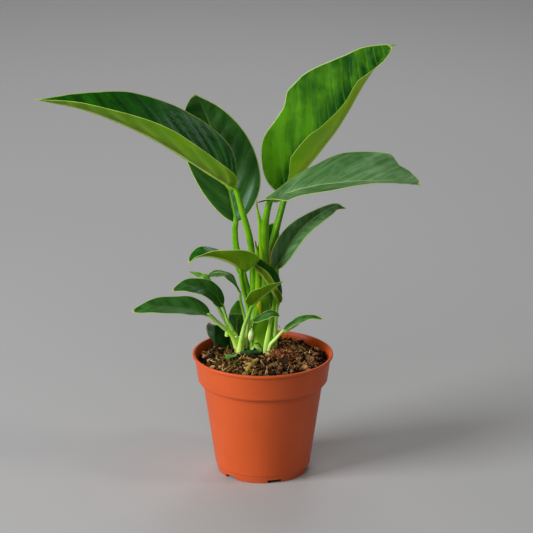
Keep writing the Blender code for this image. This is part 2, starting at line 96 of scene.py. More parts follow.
class Wire:
    """An output socket of a node tree.  Sums on it add Math nodes; node() adds any other."""

    def __init__(self, tree, socket):
        self.tree, self.socket = tree, socket

    def node(self, kind, inputs=None, out=0, **settings):
        """A new node: its settings are set first, then its inputs by name or place."""
        made = self.tree.nodes.new(kind)
        for name, value in settings.items():
            if name == "stops":
                fill_ramp(made.color_ramp, value)
            else:
                setattr(made, name, value)
        for name, value in (inputs or {}).items():
            if isinstance(value, Wire):
                self.tree.links.new(value.socket, made.inputs[name])
            else:
                made.inputs[name].default_value = value
        return Wire(self.tree, made.outputs[out])

    def maths(self, operation, *values):
        return self.node("ShaderNodeMath", dict(enumerate(values)), operation=operation)

    def geometry(self, kind, inputs=None, out=0, **settings):
        return self.node("GeometryNode" + kind, inputs, out, **settings)

    def __add__(self, other):
        return self.maths("ADD", self, other)

    def __sub__(self, other):
        return self.maths("SUBTRACT", self, other)

    def __rsub__(self, other):
        return self.maths("SUBTRACT", other, self)

    def __mul__(self, other):
        return self.maths("MULTIPLY", self, other)

    def __pow__(self, other):
        return self.maths("POWER", self, other)

    __radd__ = __add__
    __rmul__ = __mul__

    def __abs__(self):
        return self.maths("ABSOLUTE", self)

    def step(self, low, high):
        """0 below low, 1 above high, and a smooth rise between; low may be the larger."""
        return self.node("ShaderNodeMapRange", {"Value": self, "From Min": low, "From Max": high},
                         interpolation_type="SMOOTHSTEP")

    def blend(self, first, second):
        """The first colour where this is 0 and the second where it is 1."""
        colours = [value if isinstance(value, Wire) else (*value, 1.0)
                   for value in (first, second)]
        return self.node("ShaderNodeMix", {0: self, 6: colours[0], 7: colours[1]}, out=2,
                         data_type="RGBA")

    def grain(self, size, detail=2.0, roughness=0.5, distortion=0.0):
        """Noise on this vector with features of a size in metres."""
        return self.node("ShaderNodeTexNoise", {
            "Vector": self, "Scale": 1.0 / size, "Detail": detail, "Roughness": roughness,
            "Distortion": distortion})

    def along(self, axis):
        return self.node("ShaderNodeSeparateXYZ", {"Vector": self}, out=axis)

    def vector(self, **axes):
        return self.node("ShaderNodeCombineXYZ", axes)

    def read(self, attribute):
        """A number that the mesh carries."""
        return self.node("ShaderNodeAttribute", out="Fac", attribute_name=attribute)

    def ramp(self, stops):
        """The colour where this falls between stops, each a (position, colour)."""
        return self.node("ShaderNodeValToRGB", {"Fac": self}, stops=stops)


def fill_ramp(ramp, stops):
    while len(ramp.elements) < len(stops):
        ramp.elements.new(1.0)
    for element, (position, colour) in zip(ramp.elements, stops):
        element.position = position
        element.color = (*colour, 1.0)


def start_finish(name, constants):
    """A new material with these constants on its shader, and a wire of object coordinates."""
    material = bpy.data.materials.new(name)
    material.use_nodes = True
    shader = material.node_tree.nodes["Principled BSDF"]
    for socket, value in constants.items():
        shader.inputs[socket].default_value = value
    coordinates = material.node_tree.nodes.new("ShaderNodeTexCoord")
    return material, Wire(material.node_tree, coordinates.outputs["Object"])


def end_finish(material, colour, roughness, height, depth):
    """Feed a finish: its colour, its roughness, and a bump of a depth in metres."""
    shader = material.node_tree.nodes["Principled BSDF"]
    bump = height.node("ShaderNodeBump", {"Strength": 1.0, "Distance": depth, "Height": height})
    for socket, wire in (("Base Color", colour), ("Roughness", roughness), ("Normal", bump)):
        material.node_tree.links.new(wire.socket, shader.inputs[socket])
    return material


def start_tree(name, sizes):
    """A Geometry Nodes tree with a named input for each size; returns it and their wires."""
    tree = bpy.data.node_groups.new(name, "GeometryNodeTree")
    tree.interface.new_socket("Geometry", in_out="INPUT", socket_type="NodeSocketGeometry")
    for label, kind in sizes.items():
        tree.interface.new_socket(label, in_out="INPUT", socket_type=f"NodeSocket{kind}")
    tree.interface.new_socket("Geometry", in_out="OUTPUT", socket_type="NodeSocketGeometry")
    entry = tree.nodes.new("NodeGroupInput")
    return tree, {socket.name: Wire(tree, socket) for socket in entry.outputs if socket.name}


def end_tree(tree, geometry, finish):
    """Realize the instances, set the material and lead the result out."""
    realized = geometry.geometry("RealizeInstances", {0: geometry})
    dressed = realized.geometry("SetMaterial", {"Geometry": realized, "Material": finish})
    exit_node = tree.nodes.new("NodeGroupOutput")
    tree.links.new(dressed.socket, exit_node.inputs[0])


def grow(name, source, tree, sizes):
    """A plain mesh object from what a tree makes of the source object, which goes."""
    modifier = source.modifiers.new(tree.name, "NODES")
    modifier.node_group = tree
    for item in tree.interface.items_tree:
        if item.in_out == "INPUT" and item.name in sizes:
            modifier[item.identifier] = sizes[item.name]
    source.update_tag()
    bpy.context.view_layer.update()
    graph = bpy.context.evaluated_depsgraph_get()
    mesh = bpy.data.meshes.new_from_object(source.evaluated_get(graph), depsgraph=graph)
    mesh.name = name
    finish = mesh.materials[-1]
    mesh.materials.clear()
    source.modifiers.remove(modifier)
    bpy.data.objects.remove(source, do_unlink=True)
    return place(name, mesh, finish)


def place(name, data, *materials):
    """Link a new object at the origin, with these materials added to its data."""
    for material in materials:
        data.materials.append(material)
    piece = bpy.data.objects.new(name, data)
    scene_collection.objects.link(piece)
    return piece


def fix(piece, slot, *nodes):
    """The piece moves with the plant and stands for these nodes of the frame."""
    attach(piece, "root")
    if nodes:
        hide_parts(*nodes)


def plastic_finish():
    """Satin polypropylene: faint flow marks, fine grain, and soil dust in the low places."""
    material, spot = start_finish("satin_polypropylene", {"Specular IOR Level": 0.26})
    height = spot.along("Z")
    slow = spot.grain(0.030, 2.0)
    fine = spot.grain(0.0011, 3.0, 0.65)
    colour = slow.step(0.3, 0.7).blend(TERRACOTTA, TERRACOTTA_DEEP)
    colour = (0.30 * slow + 0.15 * fine).blend(TERRACOTTA, colour)
    foot_dust = height.step(0.012, 0.0) * spot.grain(0.004, 4.0, 0.7).step(0.45, 0.75)
    colour = (0.5 * foot_dust).blend(colour, TERRACOTTA_DUST)
    scuffs = spot.node("ShaderNodeMapping", {"Vector": spot, "Scale": (1.0, 1.0, 0.12)})
    scuff = scuffs.grain(0.0016, 4.0, 0.7)
    roughness = 0.36 + 0.14 * slow + 0.16 * scuff.step(0.45, 0.8) + 0.25 * foot_dust
    relief = 0.75 * spot.grain(0.012, 1.0) + 0.10 * fine + 0.05 * scuff
    return end_finish(material, colour, roughness, relief, 0.0003)


def turned_pot_tree():
    """Turn a profile about Z, then cut the foot notches and the drain holes."""
    tree, size = start_tree("turned pot", {
        "Steps": "Int", "Turning radius": "Float", "Corner": "Float", "Notches": "Int",
        "Notch turn": "Float", "Notch width": "Float", "Notch height": "Float",
        "Notch circle": "Float", "Hole radius": "Float", "Hole circle": "Float",
        "Floor height": "Float", "Finish": "Material"})
    line = size["Geometry"]
    profile = line.geometry("MeshToCurve", {"Mesh": line})
    profile = line.geometry("FilletCurve", {
        "Curve": profile, "Count": 3, "Radius": size["Corner"], "Limit Radius": True},
        mode="POLY")
    circle = line.geometry("CurvePrimitiveCircle", {
        "Resolution": size["Steps"], "Radius": size["Turning radius"]})
    shell = line.geometry("CurveToMesh", {
        "Curve": circle, "Profile Curve": profile, "Scale": 1.0})
    shell = line.geometry("MergeByDistance", {"Geometry": shell, "Distance": 0.02 * MM})

    def ring(cutter, radius, lift):
        """One cutter at each notch's bearing, on a circle of a radius and height."""
        points = line.geometry("MeshCircle", {"Vertices": size["Notches"], "Radius": radius})
        here = line.geometry("InputPosition")
        facing = line.node("FunctionNodeAlignRotationToVector", {"Vector": here}, axis="X")
        cutters = line.geometry("InstanceOnPoints", {
            "Points": points, "Instance": cutter, "Rotation": facing})
        turned = line.geometry("Transform", {
            "Geometry": cutters, "Translation": line.vector(Z=lift),
            "Rotation": line.vector(Z=size["Notch turn"])})
        return line.geometry("RealizeInstances", {0: turned})

    span = line.vector(X=0.2 * size["Notch circle"], Y=size["Notch width"],
                       Z=2.0 * size["Notch height"])
    notch = line.geometry("MeshCube", {"Size": span})
    hole = line.geometry("MeshCylinder", {
        "Vertices": HOLE_SIDES, "Radius": size["Hole radius"],
        "Depth": 2.0 * size["Floor height"]})
    for cutters in (ring(notch, size["Notch circle"], 0.0),
                    ring(hole, size["Hole circle"], size["Floor height"])):
        shell = line.geometry("MeshBoolean", {"Mesh 1": shell, "Mesh 2": cutters},
                              operation="DIFFERENCE", solver="EXACT")
    end_tree(tree, shell, size["Finish"])
    return tree


def polyline(name, points):
    """An open line through (radius, height) points in mm, as a mesh in the XY plane."""
    mesh = bpy.data.meshes.new(name)
    mesh.from_pydata([(x * MM, y * MM, 0) for x, y in points],
                     [(i, i + 1) for i in range(len(points) - 1)], [])
    return place(name, mesh)


collar_top = RIM_RADIUS - RIM_BEAD
lip_foot = POT_HEIGHT - LIP_DEPTH
profile = [
    (0.0, PAD_HOLLOW), (PAD_RADIUS - 1.0, PAD_HOLLOW), (PAD_RADIUS, 0.0), (PAD_RADIUS + 0.8, 0.0),
    (PAD_RADIUS + 1.2, FLOOR_HEIGHT), (FOOT_RADIUS - WALL + 0.4, FLOOR_HEIGHT),
    (FOOT_RADIUS - WALL, 0.0), (FOOT_RADIUS, 0.0),
    (BODY_FOOT_RADIUS - 0.7, FOOT_HEIGHT - 1.0), (BODY_FOOT_RADIUS, FOOT_HEIGHT),
    (BODY_RADIUS - 0.3, LEDGE_HEIGHT - 1.2), (COLLAR_RADIUS - 1.2, LEDGE_HEIGHT - 0.1),
    (COLLAR_RADIUS, LEDGE_HEIGHT + 1.6), (collar_top, lip_foot - 0.8),
    (RIM_RADIUS, lip_foot), (RIM_RADIUS, POT_HEIGHT), (collar_top, POT_HEIGHT),
    (collar_top - WALL, lip_foot - 0.8), (COLLAR_RADIUS - WALL, LEDGE_HEIGHT + 2.4),
    (BODY_RADIUS - WALL, LEDGE_HEIGHT + 1.0), (BODY_FOOT_RADIUS - WALL - 0.5, FLOOR_HEIGHT + 2.6),
    (BODY_FOOT_RADIUS - WALL - 1.8, FLOOR_HEIGHT + WALL), (0.0, FLOOR_HEIGHT + WALL),
]
pot_line = polyline("pot_line", [(r - TURNING_RADIUS, -z) for r, z in reversed(profile)])
pot = grow("nursery_pot", pot_line, turned_pot_tree(), {
    "Steps": TURNING_STEPS, "Turning radius": TURNING_RADIUS * MM, "Corner": CORNER * MM,
    "Finish": plastic_finish(), **FOOT_NOTCHES, **DRAIN_HOLES})
pot.data.shade_smooth()
pot.data.set_sharp_from_angle(angle=CREASE)
fix(pot, "terracotta_plastic", "pot")

# ---------------------------------------------------------------------- soil
# Potting mix of peat, coir fibre and bark that fills the pot and is mounded up
# to the plant.  A rough lump makes the body; crumbs, fibres, flakes, moss and
# perlite lie on it, and a tangle of roots shows right of the crown.
SOIL_EDGE, SOIL_TOP, SOIL_RADIUS = 96.8, 103.8, 56.0
SOIL_GAP = 0.3                                             # between its sides and the wall
SOIL_FALL = (0.0, 0.4, 1.6, 3.4, SOIL_TOP - SOIL_EDGE)     # below the top, middle to edge
LUMPS = ((2.4, 14.0), (3.3, 7.0), (2.5, 3.6), (1.0, 1.6))  # depth and size of the lumps
ROOTS = (15.0, -7.0, 15.0, 15.0, 3.2)                      # centre, reach and rise of the tangle
LITTER_RADIUS = 52.6                                       # loose bits keep off the wall
FIBRE_RADIUS = 47.0                                        # and long fibres further still
MOUND_RINGS, MOUND_STEPS = 64, 220
PEAT = ((0.0, (0.003, 0.0015, 0.001)), (0.50, (0.016, 0.007, 0.002)),
        (0.72, (0.140, 0.055, 0.016)), (1.0, (0.80, 0.44, 0.16)))
COIR = ((0.0, (0.030, 0.010, 0.003)), (0.5, (0.20, 0.066, 0.018)),
        (0.80, (0.58, 0.25, 0.070)), (1.0, (0.95, 0.66, 0.30)))
ROOT = ((0.0, (0.06, 0.016, 0.006)), (0.5, (0.36, 0.110, 0.036)), (1.0, (0.85, 0.42, 0.18)))
BARK = ((0.0, (0.012, 0.006, 0.002)), (0.5, (0.060, 0.030, 0.010)), (1.0, (0.48, 0.28, 0.10)))
MOSS = ((0.0, (0.12, 0.11, 0.006)), (0.5, (0.30, 0.28, 0.012)), (1.0, (0.55, 0.46, 0.05)))
PERLITE = ((0.0, (0.60, 0.57, 0.50)), (1.0, (0.86, 0.85, 0.80)))


def spread(values, t):
    """Straight-line reading of evenly spaced values at t in 0..1."""
    place_in = min(max(t, 0.0), 1.0) * (len(values) - 1)
    span = min(int(place_in), len(values) - 2)
    return values[span] + (values[span + 1] - values[span]) * (place_in - span)


def ground(x, y):
    """Height of the rough soil in mm over a place in mm."""
    radius = math.hypot(x, y)
    height = SOIL_TOP - spread(SOIL_FALL, radius / SOIL_RADIUS)
    for depth, size in LUMPS:
        height += depth * noise.noise(Vector((x, y, 7.0)) / size)
    root_x, root_y, reach_x, reach_y, rise = ROOTS
    away = ((x - root_x) / reach_x) ** 2 + ((y - root_y) / reach_y) ** 2
    return height + rise * math.exp(-away * 1.6)


def to_mesh(name, body, smooth=True):
    """The mesh of a body made point by point, which is then let go."""
    mesh = bpy.data.meshes.new(name)
    body.to_mesh(mesh)
    body.free()
    if smooth:
        mesh.shade_smooth()
    return mesh


def mound_mesh(rings, steps):
    """The soil as one closed lump: rough on top, smooth down the wall and across the floor."""
    floor_height = FLOOR_HEIGHT + WALL + SOIL_GAP
    circles = [(SOIL_RADIUS * ring / rings, None) for ring in range(1, rings + 1)]
    circles += [(SOIL_RADIUS, SOIL_EDGE - 2.0),
                (COLLAR_RADIUS - WALL - SOIL_GAP, LEDGE_HEIGHT + 2.6),
                (BODY_RADIUS - WALL - SOIL_GAP, LEDGE_HEIGHT + 1.4),
                (BODY_FOOT_RADIUS - WALL - 1.9, floor_height), (20.0, floor_height)]
    lump = bmesh.new()
    middle = lump.verts.new(Vector((0, 0, ground(0, 0))) * MM)
    loops = []
    for radius, height in circles:
        loop = []
        for step in range(steps):
            angle = 2 * math.pi * step / steps
            x, y = radius * math.cos(angle), radius * math.sin(angle)
            z = ground(x, y) if height is None else height
            loop.append(lump.verts.new(Vector((x, y, z)) * MM))
        loops.append(loop)
    bottom = lump.verts.new(Vector((0, 0, floor_height)) * MM)
    for step in range(steps):
        after = (step + 1) % steps
        lump.faces.new((middle, loops[0][step], loops[0][after]))
        for inner, outer in zip(loops, loops[1:]):
            lump.faces.new((inner[step], outer[step], outer[after], inner[after]))
        lump.faces.new((bottom, loops[-1][after], loops[-1][step]))
    return to_mesh("potting_mix", lump)


def weigh(mesh, name, weight):
    """Write a number on every point of a mesh, from the point's place in mm."""
    values = mesh.attributes.new(name, "FLOAT", "POINT")
    values.data.foreach_set("value", [weight(vertex.co / MM) for vertex in mesh.vertices])


def on_top(spot):
    """1 on the open soil, 0 near the wall and below."""
    return 1.0 if math.hypot(spot.x, spot.y) < LITTER_RADIUS and spot.z > SOIL_EDGE - 6 else 0.0


def well_inside(spot):
    """Likewise, but further from the wall, for the long fibres."""
    return on_top(spot) * (math.hypot(spot.x, spot.y) < FIBRE_RADIUS)


def in_roots(spot):
    """1 at the middle of the root tangle, falling to 0 at its reach."""
    root_x, root_y, reach_x, reach_y, _ = ROOTS
    away = math.hypot((spot.x - root_x) / reach_x, (spot.y - root_y) / reach_y)
    return on_top(spot) * max(0.0, 1.0 - away ** 2)


def peat_finish(name, stops, shade=0.35):
    """Matte crumb: one tint for each bit from the ramp, mottled and rough."""
    material, spot = start_finish(name, {"Specular IOR Level": 0.25})
    mottle = spot.grain(0.0012, 3.0, 0.7)
    colour = (spot.read("tint") + shade * (mottle - 0.5)).ramp(stops)
    return end_finish(material, colour, 0.75 + 0.2 * mottle, spot.grain(0.0005, 3.0, 0.7), 0.0003)


def mound_finish():
    """The soil between the loose bits: dark damp peat with paler specks."""
    material, spot = start_finish("damp_peat", {"Specular IOR Level": 0.3})
    clods = spot.grain(0.004, 4.0, 0.65)
    specks = spot.grain(0.0009, 2.0, 0.6).step(0.62, 0.75)
    colour = (clods.step(0.4, 0.8) * 0.30 + specks * 0.2).ramp(PEAT)
    return end_finish(material, colour, 0.8 + 0.15 * clods, spot.grain(0.0015, 5.0, 0.75), 0.0009)


def crumb(rough, flat=1.0, long=1.0):
    """A lump of about 1 mm radius, made of 24 faces."""
    lump = bmesh.new()
    bmesh.ops.create_cube(lump, size=1.6)
    bmesh.ops.subdivide_edges(lump, edges=lump.edges[:], cuts=1, use_grid_fill=True)
    for vert in lump.verts:
        way = vert.co.normalized()
        reach = 1.0 + rough * noise.noise(way * 1.7 + Vector((rough, long, flat)) * 9.0)
        vert.co = Vector((way.x * long, way.y, way.z * flat)) * reach * MM
    return lump


def tube(rings, sides):
    """A closed tube over rings, each a (middle, way along, radius) in mm."""
    body = bmesh.new()
    loops = []
    for middle, along, radius in rings:
        side = along.orthogonal().normalized()
        turns = [Matrix.Rotation(2 * math.pi * turn / sides, 3, along) for turn in range(sides)]
        loops.append([body.verts.new((middle + turn @ side * radius) * MM) for turn in turns])
    for lower, upper in zip(loops, loops[1:]):
        for turn in range(sides):
            after = (turn + 1) % sides
            body.faces.new((lower[turn], lower[after], upper[after], upper[turn]))
    body.faces.new(reversed(loops[0]))
    body.faces.new(loops[-1])
    return body


def strand(points, radius):
    """A thin three-sided thread through points in mm."""
    rings = []
    for index, point in enumerate(points):
        before, after = points[max(index - 1, 0)], points[min(index + 1, len(points) - 1)]
        thin = radius * (0.55 + 0.45 * math.sin(math.pi * (index + 0.6) / len(points)))
        rings.append((point, (after - before).normalized(), thin))
    return tube(rings, 3)


def wander(seed, steps, stride, bend):
    """A wandering line of points in mm, about its own middle."""
    dice = random.Random(seed)
    heading, point, points = Vector((1, 0, 0)), Vector(), []
    for _ in range(steps):
        points.append(point.copy())
        point += heading * stride
        heading = (heading + Vector([dice.uniform(-bend, bend) for _ in range(3)])).normalized()
    middle = sum(points, Vector()) / len(points)
    return [spot - middle for spot in points]


def shapes(name, makers):
    """A collection of small shapes that a scatter picks from."""
    kit = bpy.data.collections.new(name)
    for index, shape in enumerate(makers):
        mesh = to_mesh(f"{name}_{index}", shape, smooth=False)
        kit.objects.link(bpy.data.objects.new(mesh.name, mesh))
    return kit


def scatter_tree():
    """Strew a kit of shapes over the ground, thickest where an attribute is high."""
    tree, size = start_tree("strewn bits", {
        "Kit": "Collection", "Where": "String", "Density": "Float", "Smallest": "Float",
        "Largest": "Float", "Tilt": "Float", "Lift": "Float", "Seed": "Int",
        "Finish": "Material"})
    soil = size["Geometry"]
    where = soil.geometry("InputNamedAttribute", {"Name": size["Where"]}, data_type="FLOAT")
    points = soil.geometry("DistributePointsOnFaces", {
        "Mesh": soil, "Density": where * size["Density"], "Seed": size["Seed"]})
    facing = Wire(tree, points.socket.node.outputs["Rotation"])
    points = soil.geometry("SetPosition", {
        "Geometry": points, "Offset": soil.vector(Z=size["Lift"])})

    def dice(least, most, shift):
        return soil.node("FunctionNodeRandomValue", {
            2: least, 3: most, "Seed": size["Seed"] + shift}, out=1, data_type="FLOAT")

    tilt = size["Tilt"]
    turn = soil.vector(X=dice(-1.0, 1.0, 1) * tilt, Y=dice(-1.0, 1.0, 2) * tilt,
                       Z=dice(0.0, 2 * math.pi, 3))
    turn = soil.node("FunctionNodeEulerToRotation", {0: turn})
    facing = soil.node("FunctionNodeRotateRotation", {"Rotation": facing, "Rotate By": turn},
                       rotation_space="LOCAL")
    scale = size["Smallest"] + (size["Largest"] - size["Smallest"]) * dice(0.0, 1.0, 4) ** 2.0
    kit = soil.geometry("CollectionInfo", {
        "Collection": size["Kit"], "Separate Children": True, "Reset Children": True})
    bits = soil.geometry("InstanceOnPoints", {
        "Points": points, "Instance": kit, "Pick Instance": True, "Rotation": facing,
        "Scale": scale})
    bits = soil.geometry("StoreNamedAttribute", {
        "Geometry": bits, "Name": "tint", "Value": dice(0.0, 1.0, 5)},
        data_type="FLOAT", domain="INSTANCE")
    end_tree(tree, bits, size["Finish"])
    return tree


mound = place("potting_mix", mound_mesh(MOUND_RINGS, MOUND_STEPS), mound_finish())
weigh(mound.data, "open", on_top)
weigh(mound.data, "inner", well_inside)
weigh(mound.data, "roots", in_roots)
weigh(mound.data, "moss", lambda spot: well_inside(spot) * max(0.0, min(1.0, -spot.x / 20)))
fix(mound, "soil", "soil")
scatter = scatter_tree()
crumbs = shapes("crumbs", [crumb(0.9), crumb(0.7, flat=0.6), crumb(1.1, long=1.5)])
flakes = shapes("flakes", [crumb(0.6, flat=0.22, long=1.5), crumb(0.8, flat=0.3, long=1.1),
                           crumb(0.5, flat=0.25, long=2.0)])
fibres = shapes("fibres", [strand(wander(seed, 6, 1.3, 0.45), 0.20) for seed in range(6)])
curls = shapes("curls", [strand(wander(seed, 11, 0.9, 0.85), 0.24) for seed in range(20, 26)])
# name, kit, where, bits for each square metre, least and most scale, tilt, lift, finish
litter = [
    ("peat_crumbs", crumbs, "open", 110000, 0.5, 3.0, 1.5, 0.0004, peat_finish("peat", PEAT)),
    ("coir_fibres", fibres, "inner", 100000, 0.6, 2.2, 0.7, 0.0016, peat_finish("coir", COIR)),
    ("root_tangle", curls, "roots", 800000, 0.8, 1.8, 1.1, 0.0018, peat_finish("root", ROOT)),
    ("bark_flakes", flakes, "inner", 34000, 0.9, 3.4, 0.9, 0.0014, peat_finish("bark_bits", BARK)),
    ("moss_shreds", fibres, "moss", 50000, 0.6, 1.8, 0.8, 0.0018, peat_finish("moss", MOSS)),
    ("perlite", crumbs, "open", 7000, 0.25, 0.6, 1.0, 0.0020, peat_finish("perlite", PERLITE)),
]
for seed, (name, kit, where, density, least, most, tilt, lift, finish) in enumerate(litter):
    bits = grow(name, place(name + "_bed", mound.data.copy()), scatter, {
        "Kit": kit, "Where": where, "Density": float(density), "Smallest": least,
        "Largest": most, "Tilt": tilt, "Lift": lift, "Seed": seed * 10, "Finish": finish})
    fix(bits, "soil")
for kit in (crumbs, flakes, fibres, curls):
    for shape in list(kit.objects):
        bpy.data.objects.remove(shape, do_unlink=True)
    bpy.data.collections.remove(kit)

# -------------------------------------------------------------------- leaves
# Each leaf is one living piece: a fleshy stalk that is flared and pale where it
# clasps the crown, grooved along its inner side, and runs on below the blade as
# its midrib.  The blade is thin and waxy, dark above and yellow-green below.
HALF_THICKNESS = (0.32, 0.15)     # of a blade, at the midrib and at the margin
LARGE_GRID, SMALL_GRID = (110, 15), (56, 9)
EDGE_SHARE = 0.975                # how far out the last column but one of a blade lies
BASE_WIDTH, TIP_WIDTH = 1.3, 0.35  # the least half-width of a blade at each end
# vein count, mm from the midrib and from the margin, 0 to 1 along, and mm from the tip
BLADE_MEASURES = ("vein", "reach", "margin", "run", "tip")
MARGIN = (0.41, 0.58, 0.11)
DRY_TIP = (0.55, 0.50, 0.12)
STALK_SIDES = 20
FOOT_DEPTH = 5.0                  # how far a stalk runs on into the crown
FLARE = (1.25, 1.12)              # how much wider it is there, and where it comes out
KEEL = ((0.05, 0.75), (0.12, 0.45))  # where it lies below the midrib, and its thickness there
STALK_GREEN = (0.190, 0.500, 0.003)
STALK_DEEP = (0.060, 0.240, 0.001)
STALK_PALE = (0.66, 0.97, 0.24)


def path_point(points, t):
    """A point at t in 0..1 on a Catmull-Rom curve through the given ones."""
    if len(points) == 1:
        return points[0].copy()
    knots = [2 * points[0] - points[1], *points, 2 * points[-1] - points[-2]]
    t = min(max(t, 0.0), 1.0) * (len(points) - 1)
    span = min(int(t), len(points) - 2)
    t -= span
    a, b, c, d = knots[span:span + 4]
    return 0.5 * (2 * b + (c - a) * t + (2 * a - 5 * b + 4 * c - d) * t ** 2
                  + (3 * b - 3 * c + d - a) * t ** 3)


def outline(u, fullness):
    """Half-width of a blade from 0 to 1, at u along it; fullness is (base, tip)."""
    base, tip = fullness
    peak = base / (base + tip)
    return u ** base * (1 - u) ** tip / (peak ** base * (1 - peak) ** tip)


def frame_at(leaf, u):
    """The midrib's point in mm and its along, up and right directions at u."""
    spine = [Vector(point) for point in leaf["spine"]]
    faces = [Vector(face).normalized() for face in leaf["face"]]
    along = (path_point(spine, u + 0.01) - path_point(spine, u - 0.01)).normalized()
    up = path_point(faces, u)
    up = (up - along * up.dot(along)).normalized()
    return path_point(spine, u), along, up, along.cross(up)


def half_width(leaf, side, u):
    """How far a half of the blade reaches from the midrib in mm, at u along it."""
    width = outline(u, leaf["shape"][side]) * leaf["width"][side]
    for where, start, end, share in leaf.get("dips", ()):
        if where == side:
            climb = min(1.0, max(0.0, (u - start) / (end - start)))
            width *= 1 - share * climb * climb * (3 - 2 * climb)
    width += 0.9 * leaf.get("lobe", 0.0) * (1 - u) ** 18
    return max(width, BASE_WIDTH * (1 - u) ** 6, TIP_WIDTH)


def blade_sheet(leaf, rows, columns):
    """The blade's middle surface: for each row and column its point and measures in mm."""
    thin_edge = 1.0 if leaf["width"][0] > 20 else 1.6       # a small leaf has a finer margin
    spine = [Vector(point) for point in leaf["spine"]]
    length = sum((b - a).length for a, b in zip(spine, spine[1:]))
    lobe, curl, swell = leaf.get("lobe", 0.0), leaf.get("curl", (0, 0)), leaf.get("swell", 0.3)
    ripple, waves, phase = leaf.get("ripple", (0.6, 2.5, 0.0))
    sheet = []
    for row in range(rows + 1):
        u = (1 - math.cos(math.pi * row / rows)) / 2
        middle, along, up, right = frame_at(leaf, u)
        widths = [half_width(leaf, side, u) for side in (0, 1)]
        line = []
        for column in range(-columns, columns + 1):
            side = 1 if column > 0 else 0
            sign = 1 if side else -1
            reach = min(1.0, abs(column / (columns - 1))) ** 1.45
            reach = 1.0 if abs(column) == columns else reach * EDGE_SHARE
            width = widths[side]
            x = reach * width
            lean = math.radians(spread(leaf["fold"][side], u) + curl[side] * reach / 2)
            back = lobe * reach ** 1.6 * (1 - u) ** 10
            vein = leaf["veins"] * (u - (0.85 * x + 0.010 * x * x) / length) + 0.5 * side
            wave = (ripple * math.sin(2 * math.pi * (waves * u + phase + 0.37 * side))
                    * reach ** 2 * math.sin(math.pi * min(1.0, u * 1.15)) ** 0.5)
            wave += (swell * math.sin(2.7 * vein + 1.1 * side)
                     * min(1.0, x / 8.0) * min(1.0, (width - x) / 5.0))
            point = (middle + right * (sign * x * math.cos(lean))
                     + up * (x * math.sin(lean) + wave) - along * back)
            measures = vein, x, (width - x) * thin_edge, u, (1 - u) * length
            line.append((point, dict(zip(BLADE_MEASURES, measures))))
        sheet.append(line)
    return sheet


def sheet_normals(sheet, leaf):
    """Unit normals of the middle surface, on its upper side."""
    last_row, last_column = len(sheet) - 1, len(sheet[0]) - 1
    normals = []
    for i, line in enumerate(sheet):
        u = line[0][1]["run"]
        up = frame_at(leaf, u)[2]
        row = []
        for j in range(len(line)):
            down = sheet[min(i + 1, last_row)][j][0] - sheet[max(i - 1, 0)][j][0]
            across = line[min(j + 1, last_column)][0] - line[max(j - 1, 0)][0]
            normal = across.cross(down)
            row.append(normal.normalized() if normal.length > 1e-6 else up)
        normals.append(row)
    return normals


def blade_mesh(name, leaf, rows, columns):
    """A closed blade: an upper sheet, an under sheet with the midrib, and the rim between."""
    sheet = blade_sheet(leaf, rows, columns)
    normals = sheet_normals(sheet, leaf)
    rib = leaf["rib"]
    quilt = leaf.get("quilt", 0.22)
    points, measures = [], []
    for upper in (True, False):
        for line, row in zip(sheet, normals):
            for (point, measure), normal in zip(line, row):
                x, u = measure["reach"], measure["run"]
                inner = min(1.0, x / 5.0) * min(1.0, measure["margin"] / 3.0)
                half = HALF_THICKNESS[1] + (HALF_THICKNESS[0] - HALF_THICKNESS[1]) * inner
                swell = quilt * (math.sqrt(math.sin(math.pi * measure["vein"]) ** 2 + 0.03) - 0.5)
                lift = swell * inner * inner
                rib_radius = rib * (1 - u) ** 0.7 + 0.12
                if upper:
                    lift += half - 0.5 * rib_radius * math.exp(
                        -(x / (0.55 * rib_radius + 0.3)) ** 2)
                else:
                    lift -= half + 1.1 * rib_radius * math.exp(-(x / (0.8 * rib_radius)) ** 2)
                points.append((point + normal * lift) * MM)
                measures.append(measure)
    wide, deep = len(sheet[0]), len(sheet)
    under = wide * deep
    faces = []
    for i in range(deep - 1):
        for j in range(wide - 1):
            corner = i * wide + j
            quad = (corner, corner + wide, corner + wide + 1, corner + 1)
            faces.append(quad[::-1])
            faces.append(tuple(index + under for index in quad))
    rim = list(range(wide))
    rim += [i * wide + wide - 1 for i in range(1, deep)]
    rim += [(deep - 1) * wide + j for j in range(wide - 2, -1, -1)]
    rim += [i * wide for i in range(deep - 2, 0, -1)]
    for here, after in zip(rim, rim[1:] + rim[:1]):
        faces.append((here, here + under, after + under, after))
    mesh = bpy.data.meshes.new(name)
    mesh.from_pydata(points, [], faces)
    for label in BLADE_MEASURES:
        values = mesh.attributes.new(label, "FLOAT", "POINT")
        values.data.foreach_set("value", [measure[label] for measure in measures])
    sides = [0, 1] * ((deep - 1) * (wide - 1)) + [0] * len(rim)
    mesh.polygons.foreach_set("material_index", sides)
    mesh.shade_smooth()
    mesh.update()
    return mesh


def blade_wires(spot):
    """The blade's own measures as wires, in the order of BLADE_MEASURES."""
    return [spot.read(label) for label in BLADE_MEASURES]


def near_vein(vein, width):
    """1 on a side vein and 0 beyond a share of the space between two."""
    away = abs(vein.maths("FRACT", vein + 0.5) - 0.5)
    return away.step(width, 0.0)


